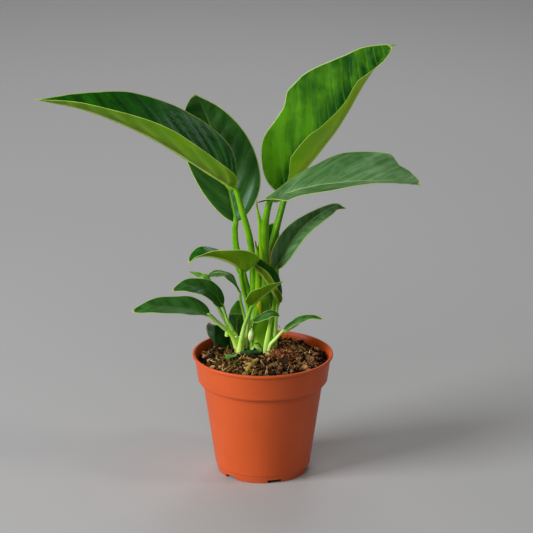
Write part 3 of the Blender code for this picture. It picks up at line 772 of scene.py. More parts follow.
def upper_finish(name, deep, bright, pale, gloss, rib, rays, painted_glow=0.0):
    """Waxy upper side, cloudy along its side veins.

    rib and rays say how far the veins show, the last how far painted light brightens the margin.
    """
    material, spot = start_finish(name, {
        "Specular IOR Level": 0.20, "Specular Tint": (0.70, 1.0, 0.86, 1.0)})
    vein, reach, margin, run, tip = blade_wires(spot)
    lines = spot.vector(X=vein, Y=reach * 0.045, Z=run)
    fine = lines.grain(0.24, 3.0, 0.6)
    band = lines.grain(1.1, 2.0, 0.5, 0.4)
    cloud = spot.grain(0.022, 3.0, 0.6)
    ridge = near_vein(vein, 0.13)
    # The last term is painted light: lighter towards the margin, with painted shade by the midrib
    # fold and towards the tip.
    share = (0.45 * band.step(0.30, 0.72) + 0.18 * fine.step(0.30, 0.75)
             + 0.50 * cloud.step(0.36, 0.72)
             + painted_glow * (reach.step(6.0, 24.0) * run.step(0.95, 0.30) - 0.4))
    colour = share.blend(deep, bright)
    colour = (ridge * rays * reach.step(32.0, 4.0)).blend(colour, pale)
    midrib = (reach + run * 0.8).step(1.5, 0.7) * run.step(1.0, 0.7)
    colour = (midrib * rib).blend(colour, pale)
    colour = (margin.step(0.95, 0.35) * 0.95).blend(colour, MARGIN)
    colour = tip.step(2.6, 0.8).blend(colour, DRY_TIP)
    roughness = gloss + 0.10 * cloud + 0.08 * fine
    relief = 0.40 * fine + 0.20 * (1.0 - ridge) + 0.3 * band + 0.06 * spot.grain(0.0005, 2.0, 0.6)
    return end_finish(material, colour, roughness, relief, 0.00030)


def under_finish(name, base, shade, pale, dusk):
    """Satin underside: smooth and yellow-green, dusky along the pale midrib."""
    material, spot = start_finish(name, {"Specular IOR Level": 0.07})
    vein, reach, margin, run, tip = blade_wires(spot)
    lines = spot.vector(X=vein, Y=reach * 0.03, Z=run)
    fine = lines.grain(0.12, 3.0, 0.6)
    cloud = spot.grain(0.030, 2.0)
    rays = near_vein(vein, 0.10)
    colour = (0.22 * fine.step(0.4, 0.7) + 0.55 * cloud.step(0.35, 0.7)
              + 0.5 * run.step(0.35, 0.0)).blend(base, shade)
    flank = reach.step(1.0, 2.4) * reach.step(13.0, 4.0) * run.step(0.98, 0.5)
    colour = (flank * 0.9 * (0.7 + 0.9 * (cloud - 0.3) + 0.5 * (fine - 0.5))).blend(colour, dusk)
    colour = (rays * 0.08).blend(colour, pale)
    midrib = reach.step(2.0, 0.7) * run.step(1.0, 0.8)
    colour = (midrib * 0.75).blend(colour, pale)
    colour = (margin.step(0.85, 0.30) * 0.8).blend(colour, MARGIN)
    colour = tip.step(2.6, 0.8).blend(colour, DRY_TIP)
    relief = 0.30 * fine + 0.5 * rays + 0.10 * spot.grain(0.0006, 2.0, 0.6)
    return end_finish(material, colour, 0.40 + 0.10 * fine, relief, 0.00015)


def stalk_finish():
    """Juicy green stalk, whitish at its foot, with fine lines along it."""
    material, spot = start_finish("green_stalk", {"Specular IOR Level": 0.22})
    height = spot.along("Z")
    line = spot.vector(X=spot.read("around") * 26.0, Y=spot.read("run") * 2.5,
                       Z=height * 9.0).grain(1.0, 3.0, 0.6)
    cloud = spot.grain(0.014, 2.0)
    colour = (0.5 * line.step(0.35, 0.7) + 0.5 * cloud.step(0.35, 0.7)).blend(
        STALK_GREEN, STALK_DEEP)
    pale = height.step(0.158, 0.108) ** 0.9
    colour = (pale * 0.95).blend(colour, STALK_PALE)
    relief = line * 0.6 + 0.2 * spot.grain(0.0006)
    return end_finish(material, colour, 0.30 + 0.15 * line, relief, 0.00015)


def stalk_tree():
    """Sweep a round section with a groove on its inner side along a curve of given radii."""
    tree, size = start_tree("grooved stalk", {
        "Sides": "Int", "Groove": "Float", "Inner side": "Vector", "Finish": "Material"})
    path = size["Geometry"]
    inner = size["Inner side"]

    def combine(operation, *vectors):
        return path.node("ShaderNodeVectorMath", dict(enumerate(vectors)), operation=operation)

    def remember(line, name):
        """The line with each point's share of its length stored under a name."""
        return path.geometry("StoreNamedAttribute", {
            "Geometry": line, "Name": name, "Value": path.geometry("SplineParameter")},
            data_type="FLOAT", domain="POINT")

    slant = combine("PROJECT", inner, path.geometry("InputTangent"))
    square = combine("NORMALIZE", combine("SUBTRACT", inner, slant))
    line = remember(path.geometry("SetCurveNormal", {"Curve": path, "Normal": square},
                                  mode="FREE"), "run")
    ring = remember(path.geometry("CurvePrimitiveCircle", {
        "Resolution": size["Sides"], "Radius": 1.0}), "around")
    here = path.geometry("InputPosition")
    inward = here.along("X").maths("MAXIMUM", here.along("X"), 0.0) ** 6.0 * size["Groove"] * -1.0
    dent = here.node("ShaderNodeVectorMath", {0: here, "Scale": inward}, operation="SCALE")
    ring = path.geometry("SetPosition", {"Geometry": ring, "Offset": dent})
    stalk = path.geometry("CurveToMesh", {
        "Curve": line, "Profile Curve": ring, "Scale": path.geometry("InputRadius"),
        "Fill Caps": True})
    stalk = path.geometry("SetShadeSmooth", {"Geometry": stalk, "Shade Smooth": True})
    end_tree(tree, stalk, size["Finish"])
    return tree


def stalk_curve(name, knots, radii, steps):
    """A curve through knots in mm whose radius at each knot is in mm."""
    curve = bpy.data.curves.new(name, "CURVE")
    curve.dimensions = "3D"
    spline = curve.splines.new("POLY")
    spline.points.add(steps)
    for step, point in enumerate(spline.points):
        t = step / steps
        point.co = (*(path_point(knots, t) * MM), 1.0)
        point.radius = path_point([Vector((radius, 0, 0)) for radius in radii], t).x * MM
    return place(name, curve)


def make_stalk(name, knots, radii, inner, groove=0.22, steps=56, finish=None):
    """A stalk through knots, as a plain mesh; inner is the way its groove looks."""
    knots = [Vector(knot) for knot in knots]
    line = stalk_curve(name + "_line", knots, radii, steps)
    return grow(name, line, STALK_TREE, {
        "Sides": STALK_SIDES, "Groove": groove, "Inner side": Vector(inner).normalized(),
        "Finish": finish or STALK_FINISH})


def make_leaf(name, leaf, grid, finishes):
    """A leaf's blade and the stalk that carries it, which runs on below the midrib."""
    mesh = blade_mesh("leaf_" + name, leaf, *grid)
    blade = place("leaf_" + name, mesh, *finishes)
    fix(blade, "leaf", "blade_" + name)
    stalk = [Vector(point) for point in leaf["stalk"]]
    foot = stalk[0] - Vector((0, 0, FOOT_DEPTH))
    radii = [leaf["radius"][0] * FLARE[0]]
    count = len(stalk)
    radii += [spread(leaf["radius"], index / count) * (FLARE[1] if index == 0 else 1.0)
              for index in range(count + 1)]
    knots = [foot, *stalk, Vector(leaf["spine"][0])]
    for u, thin in leaf.get("keel", KEEL):
        middle, _, up, _ = frame_at(leaf, u)
        radius = radii[count + 1] * thin
        knots.append(middle - up * radius * 0.9)
        radii.append(radius)
    inner = frame_at(leaf, 0.0)[2]
    stem = make_stalk("stalk_" + name, knots, radii, inner)
    fix(stem, "stalk", "petiole_" + name)


STALK_FINISH = stalk_finish()
STALK_TREE = stalk_tree()
# Each upper side: its deep, bright and vein colours, its roughness, and how far
# the midrib, the side veins and a painted light towards the margin show.
TOPS = {name: upper_finish(name + "_leaf_top", *look) for name, look in {
    "deep": ((0.003, 0.048, 0.002), (0.020, 0.160, 0.004), (0.14, 0.32, 0.05), 0.19, 0.25, 0.06),
    "small": ((0.011, 0.054, 0.007), (0.048, 0.178, 0.024), (0.14, 0.32, 0.05), 0.33, 0.25, 0.06),
    "fresh": ((0.003, 0.055, 0.0003), (0.084, 0.285, 0.004), (0.14, 0.42, 0.02),
              0.15, 0.35, 0.30, 0.60),
    "young": ((0.140, 0.440, 0.020), (0.330, 0.700, 0.080), (0.50, 0.80, 0.20), 0.30, 0.35, 0.10),
    # Its bright grey-green is partly the leaf's own tone, partly painted sheen.
    "satin": ((0.028, 0.105, 0.022), (0.155, 0.295, 0.120), (0.34, 0.52, 0.16), 0.36, 0.70, 0.20),
    "dull": ((0.012, 0.060, 0.008), (0.040, 0.132, 0.020), (0.14, 0.34, 0.03), 0.22, 0.90, 0.05),
}.items()}
# Each underside: its base, shaded, vein and dusky colours.
UNDERS = {name: under_finish(name + "_leaf_under", *look) for name, look in {
    "lime": ((0.150, 0.308, 0.002), (0.064, 0.192, 0.0005), (0.38, 0.54, 0.10),
             (0.090, 0.125, 0.006)),
    # Pale and bright: painted light, standing in for the light that shines through these thin
    # blades.
    "glowing": ((0.520, 0.880, 0.004), (0.340, 0.700, 0.002), (0.55, 0.84, 0.15),
                (0.330, 0.520, 0.008)),
    "olive": ((0.105, 0.230, 0.002), (0.065, 0.170, 0.001), (0.28, 0.42, 0.08),
              (0.085, 0.150, 0.004)),
    # Brighter than the lime: painted light for the small front leaf, which stands in shade.
    "light": ((0.185, 0.450, 0.006), (0.120, 0.330, 0.003), (0.34, 0.56, 0.10),
              (0.140, 0.310, 0.005)),
}.items()}
DEEP, SMALL = (TOPS["deep"], UNDERS["lime"]), (TOPS["small"], UNDERS["lime"])
FRESH, YOUNG = (TOPS["fresh"], UNDERS["glowing"]), (TOPS["young"], UNDERS["glowing"])
SATIN_PAINTED_SHEEN, OLIVE = (TOPS["satin"], UNDERS["olive"]), (TOPS["deep"], UNDERS["olive"])
DULL, LIGHT = (TOPS["dull"], UNDERS["lime"]), (TOPS["small"], UNDERS["light"])
FLAT = ((15, 10), (15, 10))

# Each leaf: the stalk's course and radii, the midrib from base to tip, the way
# its upper side looks, and for its left and right halves the half-width, the
# upward fold in degrees from base to tip, the curl and the outline's fullness.
# A dip is a half, where it starts and ends, and the share of the width it takes;
# the keel is how far the stalk's thickness runs on below the midrib.
large_leaves = {
    "long_left": (DEEP, {
        "stalk": ((-6.8, 8, 108.3), (-7, 9, 131), (-7.5, 8, 164.9), (-9.2, 6, 194.2),
                  (-11.7, 5, 209.9), (-17.3, 5, 230.1)),
        "radius": (3.6, 3.8, 3.6, 3.1, 3.1, 2.8, 2.4),
        "spine": ((-22.6, 6, 248.3), (-42.7, 2, 262.7), (-93.4, -6, 297.8), (-143.7, -12, 322),
                  (-188.6, -14, 333.2)),
        "face": ((0.15, -0.12, 1), (0, -0.1, 1), (-0.1, 0, 1)),
        "width": (33.6, 39.6), "fold": ((38, 32), (42, 30)), "curl": (12, 8),
        "shape": ((0.85, 1.1), (0.78, 1.12)), "veins": 20, "rib": 1.5, "swell": 0.9,
        "dips": ((0, 0.45, 0.8, 0.25), (1, 0.6, 0.8, 0.2))}),
    "back_left": (DULL, {
        "stalk": ((-6, 16, 108.3), (-8, 17, 136), (-14.1, 18, 159.8), (-18.2, 20, 175.3),
                  (-22.7, 22, 192.6), (-23.8, 24, 207.2)),
        "radius": (2.6, 2.7, 2.6, 2.6, 2.7, 2.5, 2.3),
        "spine": ((-23, 24, 214), (-30, 34, 243), (-39, 40, 275), (-47, 42, 301), (-57, 36, 324)),
        "face": ((-0.1, -1, 0.3), (-0.1, -1, 0.35)),
        "width": (28, 32.5), "fold": ((18, 8), (18, 8)),
        "shape": ((0.68, 0.6), (0.62, 1.12)), "veins": 14, "rib": 1.3, "swell": 0.6}),
    "level_right": (SATIN_PAINTED_SHEEN, {
        "stalk": ((2, 8, 108.3), (2.2, 8.5, 135), (1.6, 8, 157), (1, 6, 189.8), (1.2, 2, 208.8),
                  (2.7, -4, 227.6)),
        "radius": (4.5, 4.8, 4.8, 3.8, 3.9, 3.1, 2.6),
        "spine": ((6.5, -11, 244.4), (30.3, -22, 257.3), (58.4, -33, 266.1), (97.1, -43, 271.4),
                  (130.5, -47, 268.9)),
        "face": ((0, 0, 1), (0, 0, 1)),
        "width": (39, 31), "fold": ((24, 24), (21, -5, 3, 10, 17)),
        "shape": ((0.8, 0.55), (0.6, 0.7)), "lobe": 8, "veins": 16, "rib": 1.4,
        "dips": ((0, 0.78, 0.86, 0.3), (0, 0.91, 0.97, 0.15))}),
    "top_right": (FRESH, {
        "stalk": ((3, 16.5, 108.3), (5, 18.5, 146), (7, 17, 174), (7.9, 15, 194.9),
                  (10.5, 15, 207.4), (14.6, 17, 223.1)),
        "radius": (3.6, 3.6, 3.4, 3.1, 3.2, 2.8, 2.7),
        "spine": ((20.5, 20, 243.6), (40.2, 20, 268.2), (65.0, 16, 303.2), (86.3, 8, 343.7),
                  (107, 0, 375.4)),
        "face": ((-0.85, -0.5, 0.2), (-0.6, -0.8, 0.4)),
        "width": (52, 45), "fold": ((45, 30), (42, 70, 64, 72, 15)), "curl": (0, 12),
        "shape": ((0.465, 0.68), (0.75, 0.5)), "lobe": 7, "veins": 14, "rib": 1.5,
        "quilt": 0.45, "ripple": (0.3, 2.5, 0.0), "swell": 0.5,
        "dips": ((0, 0.12, 0.34, 0.10), (0, 0.38, 0.50, -0.14), (0, 0.60, 0.82, 0.27),
                 (0, 0.88, 0.97, 0.08), (1, 0.42, 0.66, 0.7))}),
    "mid_right": (SATIN_PAINTED_SHEEN, {
        "stalk": ((9.6, 12, 108.3), (9.9, 13.5, 127.9), (11, 13.5, 145.1), (11.8, 13, 166)),
        "radius": (2.5, 2.3, 2.2, 2.1, 1.9),
        "spine": ((12, 14, 176.4), (27, 12, 204.8), (42, 8, 221.8), (61, 2, 235.6),
                  (70, -2, 234.6)),
        "face": ((-0.3, -0.9, 0.3), (-0.1, -0.9, 0.5)),
        "width": (15.5, 15), "fold": ((60, 55, 30), (45, 45, 30)),
        "shape": ((0.5, 2.1), (0.5, 1.0)), "veins": 12, "rib": 0.9}),
    "curled": (DEEP, {
        "stalk": ((10, 3.8, 108.3), (11, 2.5, 126), (12.3, 1, 144.8)),
        "radius": (1.8, 1.6, 1.4, 1.3),
        "spine": ((13.4, 0, 149.7), (7.4, -7, 163.7), (-1.1, -11, 178.4), (-10.8, -12, 189.4),
                  (-17.5, -11, 197.9)),
        "face": ((0.8, 0.1, 0.5), (0.6, 0.3, 0.7)),
        "width": (9, 15), "fold": ((40, 30), (55, 45)),
        "shape": ((0.5, 0.9), (0.5, 0.9)), "veins": 9, "rib": 0.8}),
    "front_arching": (OLIVE, {
        "stalk": ((-15.2, 6.8, 105.3), (-13.6, 4, 119), (-12.6, -2, 133), (-12.5, -6, 146.3),
                  (-15.6, -10, 162.9), (-18, -14, 175.8)),
        "radius": (2.0, 2.0, 2.0, 2.0, 2.0, 2.1, 2.3),
        "spine": ((-18.7, -17, 183.9), (-26.7, -18, 191.3), (-41.9, -17, 196.4), (-55, -15, 195.7),
                  (-62.7, -14, 189.7)),
        "face": ((0.6, 0.3, 0.7), (-0.1, 0.1, 1), (-0.5, 0, 0.8)),
        "width": (23.5, 17.8), "fold": ((45, 35), (5, 18)), "curl": (10, 0),
        "keel": ((0.04, 0.6), (0.10, 0.3)),
        "shape": ((0.42, 2.8), (0.6, 0.6)), "lobe": 4, "veins": 9, "rib": 0.9}),
}

small_leaves = {
    "front_small": (LIGHT, {
        "stalk": ((-18.4, 0.5, 105.3), (-18.4, -1, 114.9), (-16.8, -5, 125.3), (-14.8, -10, 135.1),
                  (-11.6, -15, 145.3)),
        "radius": (2.4, 2.3, 2.1, 1.7, 1.6, 1.5),
        "spine": ((-9.3, -18, 152.9), (-0.6, -21, 161.7), (7.8, -22.5, 168.9), (17.1, -23, 176.6)),
        "face": ((-0.6, 0.5, 0.5), (-0.3, 0.5, 0.7)),
        "width": (12, 14.5), "fold": ((20, 20), (20, 20)),
        "shape": ((0.4, 0.9), (0.42, 1.0)), "veins": 7, "rib": 0.7}),
    "small_arching": (SATIN_PAINTED_SHEEN, {
        "stalk": ((-11.2, 11.8, 108.3), (-15.4, 8, 134), (-18.8, 6, 150)),
        "radius": (1.6, 1.5, 1.3, 1.1),
        "spine": ((-19.2, 6, 157), (-24.8, 10, 166.8), (-31.1, 13, 171.8), (-40.6, 14, 172.4),
                  (-48, 12, 169.5)),
        "face": ((0.4, 0.2, 0.6), (0, -0.4, 0.9)),
        "width": (7, 3.4), "fold": ((-12, -12), (15, 10)),
        "shape": ((0.5, 0.7), (0.5, 0.7)), "veins": 7, "rib": 0.5}),
    "tiny_right": (SMALL, {
        "stalk": ((-10, 3, 108.3), (-10, 1, 119), (-10.3, -3.5, 127), (-10.3, -7.5, 133)),
        "radius": (1.2, 1.2, 1.1, 1.0, 1.0),
        "spine": ((-9, -10, 137), (-1, -12, 141), (8, -14, 145), (15, -15, 143)),
        "face": ((-0.2, -0.7, 0.8), (0.1, -0.6, 0.9)),
        "width": (3.6, 5), "fold": FLAT,
        "shape": ((0.9, 0.8), (0.6, 0.8)), "veins": 6, "rib": 0.5}),
    "low_right": (SMALL, {
        "stalk": ((5.0, -4.5, 106.5), (6.3, -6.0, 114.0), (10.5, -6.3, 119.0)),
        "radius": (1.9, 1.8, 1.6, 1.4),
        "spine": ((16.8, -6, 126.2), (24.4, -10, 132.2), (32.4, -12, 137.5), (41.7, -14, 141.0),
                  (51.9, -15, 139.8)),
        "face": ((-0.2, -0.5, 0.9), (0, -0.4, 1)),
        "width": (5.2, 2.6), "fold": ((20, 10), (20, 10)),
        "keel": ((0.06, 1.0), (0.2, 0.95), (0.36, 0.85), (0.48, 0.5)),
        "shape": ((0.6, 0.8), (0.5, 0.8)), "veins": 8, "rib": 0.7}),
    "hidden_back": (DEEP, {
        "stalk": ((-1.5, 22, 108.3), (-1, 25, 125), (0.2, 26, 148.1)),
        "radius": (1.6, 1.5, 1.4, 1.3),
        "spine": ((1, 27, 161.3), (4, 28, 179.9), (7.4, 29, 196.6), (10.2, 29, 212.3)),
        "face": ((0, -1, 0.2),),
        "width": (11, 7.5), "fold": ((10, 10), (10, 10)),
        "shape": ((0.6, 0.55), (0.6, 0.55)), "veins": 8, "rib": 0.7}),
}

# The left shoot is a leaning stem that carries three leaves on its top.
shoot_middle, shoot_top = Vector((-22.8, 3.5, 115)), Vector((-28.5, -2, 127))
shoot_run = (shoot_top - shoot_middle).normalized()
shoot_side = shoot_run.cross(Vector((0, -1, 0))).normalized()
shoot_back = -shoot_side.cross(shoot_run)


def on_shoot(sideways, backwards):
    """A seat on the shoot's top, in mm."""
    return shoot_top + shoot_side * sideways + shoot_back * backwards + shoot_run * 0.4


shoot_leaves = {
    "low_upper": (SMALL, {
        "stalk": (on_shoot(2.0, -0.6), (-29.5, -4, 134), (-32, -4, 141)),
        "radius": (1.4, 1.3, 1.3, 1.3),
        "spine": ((-34, -5, 149), (-42, -8, 161), (-53, -11, 167.4), (-65, -13, 169.2),
                  (-77, -14, 165.4)),
        "face": ((0, -0.5, 0.9), (-0.3, -0.5, 0.9)),
        "width": (12, 9.5), "fold": FLAT,
        "shape": ((0.5, 0.8), (0.5, 0.8)), "veins": 9, "rib": 0.7}),
    "low_lower": (SMALL, {
        "stalk": (on_shoot(-1.8, -1.0), (-32.5, -5, 128.7), (-39, -7, 135.2)),
        "radius": (1.9, 1.9, 1.8, 1.7),
        "spine": ((-45, -8, 141.5), (-57, -10, 146.7), (-72, -12, 149.6), (-91, -14, 151.2),
                  (-111, -16, 147.8)),
        "face": ((0, -0.4, 1), (-0.1, -0.4, 1)),
        "width": (12, 13), "fold": FLAT,
        "shape": ((0.8, 0.6), (0.5, 0.8)), "veins": 11, "rib": 0.8}),
    "young": (YOUNG, {
        "stalk": (on_shoot(0.0, 2.4), (-38, 2, 145), (-43, 3, 156)),
        "radius": (1.7, 1.5, 1.3, 1.1),
        "spine": ((-43.2, 3, 165.7), (-48.2, 3, 171.5), (-54.1, 2, 173.9), (-62.7, 1, 177.5)),
        "face": ((0.2, -0.3, 0.9), (0, -0.6, 0.8)),
        "width": (3.5, 3.2), "fold": ((10, 10), (10, 10)),
        "shape": ((0.5, 0.8), (0.5, 0.8)), "veins": 5, "rib": 0.4}),
}

# The tallest leaf ends in a short drip tip beyond its blade.
DRIP_TIP = ((104.5, 0.3, 373.6), (107.0, 0, 375.3), (109.0, -0.3, 376.0), (111.2, -0.5, 376.3))
DRIP_RADII = (0.3, 0.75, 0.5, 0.2)
fix(make_stalk("leaf_drip_tip", DRIP_TIP, DRIP_RADII, (0, 0, 1)), "leaf")
for name, (finishes, leaf) in large_leaves.items():
    make_leaf(name, leaf, LARGE_GRID, finishes)
for name, (finishes, leaf) in {**small_leaves, **shoot_leaves}.items():
    make_leaf(name, leaf, SMALL_GRID, finishes)

# --------------------------------------------------------------------- crown
# The short fleshy stems in the soil that every stalk clasps: a stout one and a
# leaning one for the shoot.  Pale sheaths wrap them, pointed or dry ends of older
# ones stand between the stalks, and bud dots and a leaf scar mark them.  A near-black
# arc by the foot is a painted shadow under a sheath's edge.
CROWN_MIDDLE, CROWN_REACH, CROWN_HEIGHT = (-0.3, 9.0), (12.0, 15.0), 106.0
SHOOT_MIDDLE, SHOOT_REACH, SHOOT_HEIGHT = (-19.5, 4.2), (7.0, 7.0), 103.5
CROWN_DEEP = 14.0                                # how far both reach into the soil
FRONT = (0.0, -1.0, 0.0)


def sheath_finish(name, stops, gloss):
    """Juicy tissue, finely lined, whose colours follow the stops from its foot to its tip."""
    material, spot = start_finish(name, {"Specular IOR Level": 0.22})
    run = spot.read("run")
    line = spot.vector(X=spot.read("around") * 22.0, Y=run * 3.0).grain(1.0, 3.0, 0.6)
    colour = (run + 0.22 * (line - 0.5)).ramp(stops)
    relief = line * 0.6 + 0.2 * spot.grain(0.0006)
    return end_finish(material, colour, gloss + 0.15 * line, relief, 0.00015)


def stump_mesh(name, middle, reach, top):
    """A knobbly oval stump with a domed top, closed below."""
    stump = bmesh.new()
    bmesh.ops.create_uvsphere(stump, u_segments=40, v_segments=24, radius=1.0)
    for vert in stump.verts:
        knob = 1.0 + 0.05 * noise.noise(vert.co * 3.0)
        x, y, z = vert.co
        vert.co = Vector((middle[0] + x * reach[0] * knob, middle[1] + y * reach[1] * knob,
                          top - CROWN_DEEP / 2 + z * CROWN_DEEP / 2)) * MM
    return to_mesh(name, stump)


# Each: how matte it is, and its colours from foot to tip.
SKINS = {name: sheath_finish(name, stops, gloss) for name, (gloss, stops) in {
    "crown_skin": (0.38, ((0.0, (0.40, 0.58, 0.14)), (1.0, (0.50, 0.38, 0.08)))),
    "stem_skin": (0.38, (
        (0.0, (0.44, 0.76, 0.10)), (0.16, (0.34, 0.66, 0.04)), (0.32, (0.17, 0.44, 0.006)),
        (1.0, (0.11, 0.38, 0.002)))),
    "shoot_skin": (0.38, (
        (0.0, (0.56, 0.72, 0.32)), (0.30, (0.60, 0.84, 0.20)), (0.6, (0.60, 0.94, 0.12)),
        (1.0, (0.40, 0.80, 0.03)))),
    "pale_sheath": (0.38, (
        (0.0, (0.46, 0.66, 0.20)), (0.40, (0.50, 0.82, 0.12)), (1.0, (0.22, 0.56, 0.006)))),
    "tipped_sheath": (0.38, (
        (0.0, (0.20, 0.42, 0.003)), (0.86, (0.22, 0.50, 0.006)), (0.93, (0.22, 0.09, 0.02)),
        (1.0, (0.10, 0.012, 0.008)))),
    "straw_sheath": (0.6, (
        (0.0, (0.34, 0.42, 0.02)), (0.8, (0.55, 0.46, 0.05)), (1.0, (0.95, 0.70, 0.25)))),
    "yellow_sheath": (0.5, (
        (0.0, (0.30, 0.52, 0.005)), (0.5, (0.75, 0.76, 0.010)), (1.0, (0.40, 0.60, 0.01)))),
    "bud_dot": (0.5, ((0.0, (0.70, 0.85, 0.45)), (0.5, (0.90, 0.93, 0.80)))),
    "bulge_skin": (0.38, ((0.0, (0.26, 0.42, 0.05)), (1.0, (0.40, 0.62, 0.16)))),
    "leaf_scar": (0.6, (
        (0.0, (0.62, 0.36, 0.02)), (0.55, (0.80, 0.42, 0.02)), (0.85, (0.42, 0.10, 0.02)))),
    # Near black: the colour of a painted shadow.
    "foot_crease": (0.38, ((0.0, (0.03, 0.05, 0.005)), (1.0, (0.05, 0.07, 0.008)))),
    "bud_scale_skin": (0.45, (
        (0.0, (0.50, 0.72, 0.18)), (0.6, (0.78, 0.90, 0.40)), (1.0, (0.50, 0.70, 0.20)))),
}.items()}

# Each: the node it stands for, its middle and reach across, and its height.
stumps = {
    "crown_stump": ("crown", CROWN_MIDDLE, CROWN_REACH, CROWN_HEIGHT),
    "shoot_stump": ("shoot_crown", SHOOT_MIDDLE, SHOOT_REACH, SHOOT_HEIGHT),
}
for name, (node, *sizes) in stumps.items():
    fix(place(name, stump_mesh(name, *sizes), SKINS["crown_skin"]), "stalk", node)

# Each: its skin, the nodes it stands for, its course and radii, and its groove.
sheaths = {
    "main_stem": ("stem_skin", (), (
        (-2.4, 6, 98), (-2.4, 6, 104), (-3.0, 6, 117), (-2.0, 6.5, 130), (-0.4, 7, 148),
        (1.2, 8, 166), (1.7, 8, 182)), (7.6, 7.4, 6.4, 6.9, 6.2, 4.6, 3.2), 0.05),
    "back_trunk": ("stem_skin", (), (
        (7.5, 10, 98), (8.0, 9, 108), (9.0, 9, 124), (9.8, 10, 140), (10.6, 12, 158)),
        (5.0, 4.6, 3.7, 3.0, 2.0), 0.05),
    "leaning_stem": ("shoot_skin", ("shoot_stem",), (
        (-17.6, 0.5, 99.5), (-20.0, 4, 105.3), (-22.6, 3.0, 114), (-25.2, 0.8, 120.5),
        (-28.3, -1.8, 126.6), (-29.6, -2.6, 129)), (2.2, 3.9, 3.7, 3.2, 2.3, 1.3), 0.05),
    "shoot_clasp": ("shoot_skin", (), (
        (-18.5, 1, 102), (-21.2, 0.5, 109.5), (-24.6, -1.8, 118.4), (-30, -4.3, 126.8)),
        (2.2, 2.5, 2.3, 1.8), 0.0),
    "bud_dot_left": ("bud_dot", (), (
        (-22.8, -1.0, 120.0), (-22.8, -3.4, 120.3), (-22.8, -4.3, 120.6)), (0.7, 0.7, 0.3), 0.0),
    "bud_dot_right": ("bud_dot", (), (
        (-19.8, -1.0, 119.6), (-19.8, -3.4, 119.9), (-19.8, -4.3, 120.2)), (0.6, 0.6, 0.3), 0.0),
    "leaf_scar": ("leaf_scar", (), (
        (9.2, 13.6, 195.0), (9.2, 12.2, 195.3), (9.2, 11.5, 195.5)), (1.6, 1.6, 0.4), 0.0),
    # A thin near-black arc under the foot bulge's sheath edge: a painted shadow.
    "foot_crease": ("foot_crease", (), (
        (-7.6, -0.5, 113.0), (-5.2, -1.6, 114.0), (-2.6, -2.2, 112.8), (-0.6, -2.4, 110.0)),
        (0.2, 0.5, 0.5, 0.2), 0.0),
    "front_sheath": ("shoot_skin", (), (
        (-19.0, 0.5, 100), (-19.6, -0.8, 106), (-18.8, -1.6, 115), (-17.6, -4, 123)),
        (3.2, 3.0, 2.3, 1.4), 0.0),
    "right_sheath": ("pale_sheath", ("sheath_low_right",), (
        (2.7, -2, 100), (2.9, -4, 110), (3.9, -5, 119), (5.3, -5, 127.4), (6.7, -5, 135.5),
        (8.0, -5, 143.6), (9.0, -4.5, 149), (9.0, -4, 154.6)),
        (2.8, 2.6, 2.2, 1.8, 1.5, 1.3, 0.9, 0.15), 0.1),
    "right_clasp": ("pale_sheath", (), (
        (5.0, -1, 100), (6.2, -2.2, 107), (7.6, -3.0, 113), (9.4, -3.0, 119.5)),
        (4.2, 4.0, 3.2, 1.8), 0.0),
    "foot_bulge": ("bulge_skin", (), (
        (-9.0, -0.5, 102), (-7.4, -2.0, 107.0), (-5.0, -2.6, 109.3), (-1.8, -2.4, 106.5)),
        (2.6, 3.6, 3.2, 1.8), 0.0),
    "left_tip": ("tipped_sheath", ("sheath_tip_left",), (
        (-4.2, 6, 140), (-3.8, 6, 156), (-3.6, 5, 172), (-4.0, 4.3, 186), (-4.7, 3, 194),
        (-5.5, 2, 199), (-6.2, 1, 204.8)), (3.2, 3.2, 2.8, 2.2, 1.5, 0.9, 0.35), 0.1),
    "centre_tip": ("tipped_sheath", ("sheath_tip_centre",), (
        (-0.3, 4, 182), (-1.4, 2.5, 200.6), (-2.0, 0, 214.1), (-2.7, -2, 223.9),
        (-3.8, -4, 230.4), (-4.9, -6, 237.4), (-4.7, -6.8, 242.8)),
        (2.4, 2.2, 1.9, 1.6, 1.2, 0.7, 0.2), 0.1),
    "dry_sheath": ("straw_sheath", (), (
        (6.6, 8, 172), (6.2, 8, 182), (6.1, 7.6, 190), (5.9, 7.6, 197)),
        (0.9, 1.0, 0.9, 0.5), 0.0),
    "yellow_sheath": ("yellow_sheath", (), (
        (-2.0, -0.4, 137), (-2.4, -0.9, 143.3), (-3.2, -1.2, 147.5), (-2.8, -0.8, 151.5),
        (-2.2, 0, 155)), (0.4, 1.3, 2.3, 1.6, 0.5), 0.0),
    "bud_scale": ("bud_scale_skin", ("bud_scale",), (
        (-10.4, -5.0, 116.2), (-10.3, -6, 119.4), (-10.1, -6.4, 123), (-9.7, -6.0, 126.6),
        (-9.3, -5, 130.4)), (0.6, 1.9, 2.3, 1.5, 0.15), 0.1),
}
for name, (skin, nodes, knots, radii, groove) in sheaths.items():
    piece = make_stalk("crown_" + name, knots, radii, FRONT, groove, 40, SKINS[skin])
    fix(piece, "stalk", *nodes)

# ------------------------------------------------------------- fallen pieces
# What lies or leans on the soil: two old leaves gone dark, a ragged leaflet on its
# stem, the rolled stub of a leaf, a mossy twig, a split of wood, a curl of root and
# lumps of bark.
OLD_GREEN = (0.010, 0.048, 0.010)
OLD_LIGHT = (0.060, 0.200, 0.012)
DRIED_TIP = (0.20, 0.075, 0.025)
DEAD_TISSUE = (0.30, 0.22, 0.08)
WEB = 1.0                          # mm between the points of a scrap
TEAR = 0.25                        # how far tears jag its edge
SCRAP_THICKNESS = 0.4


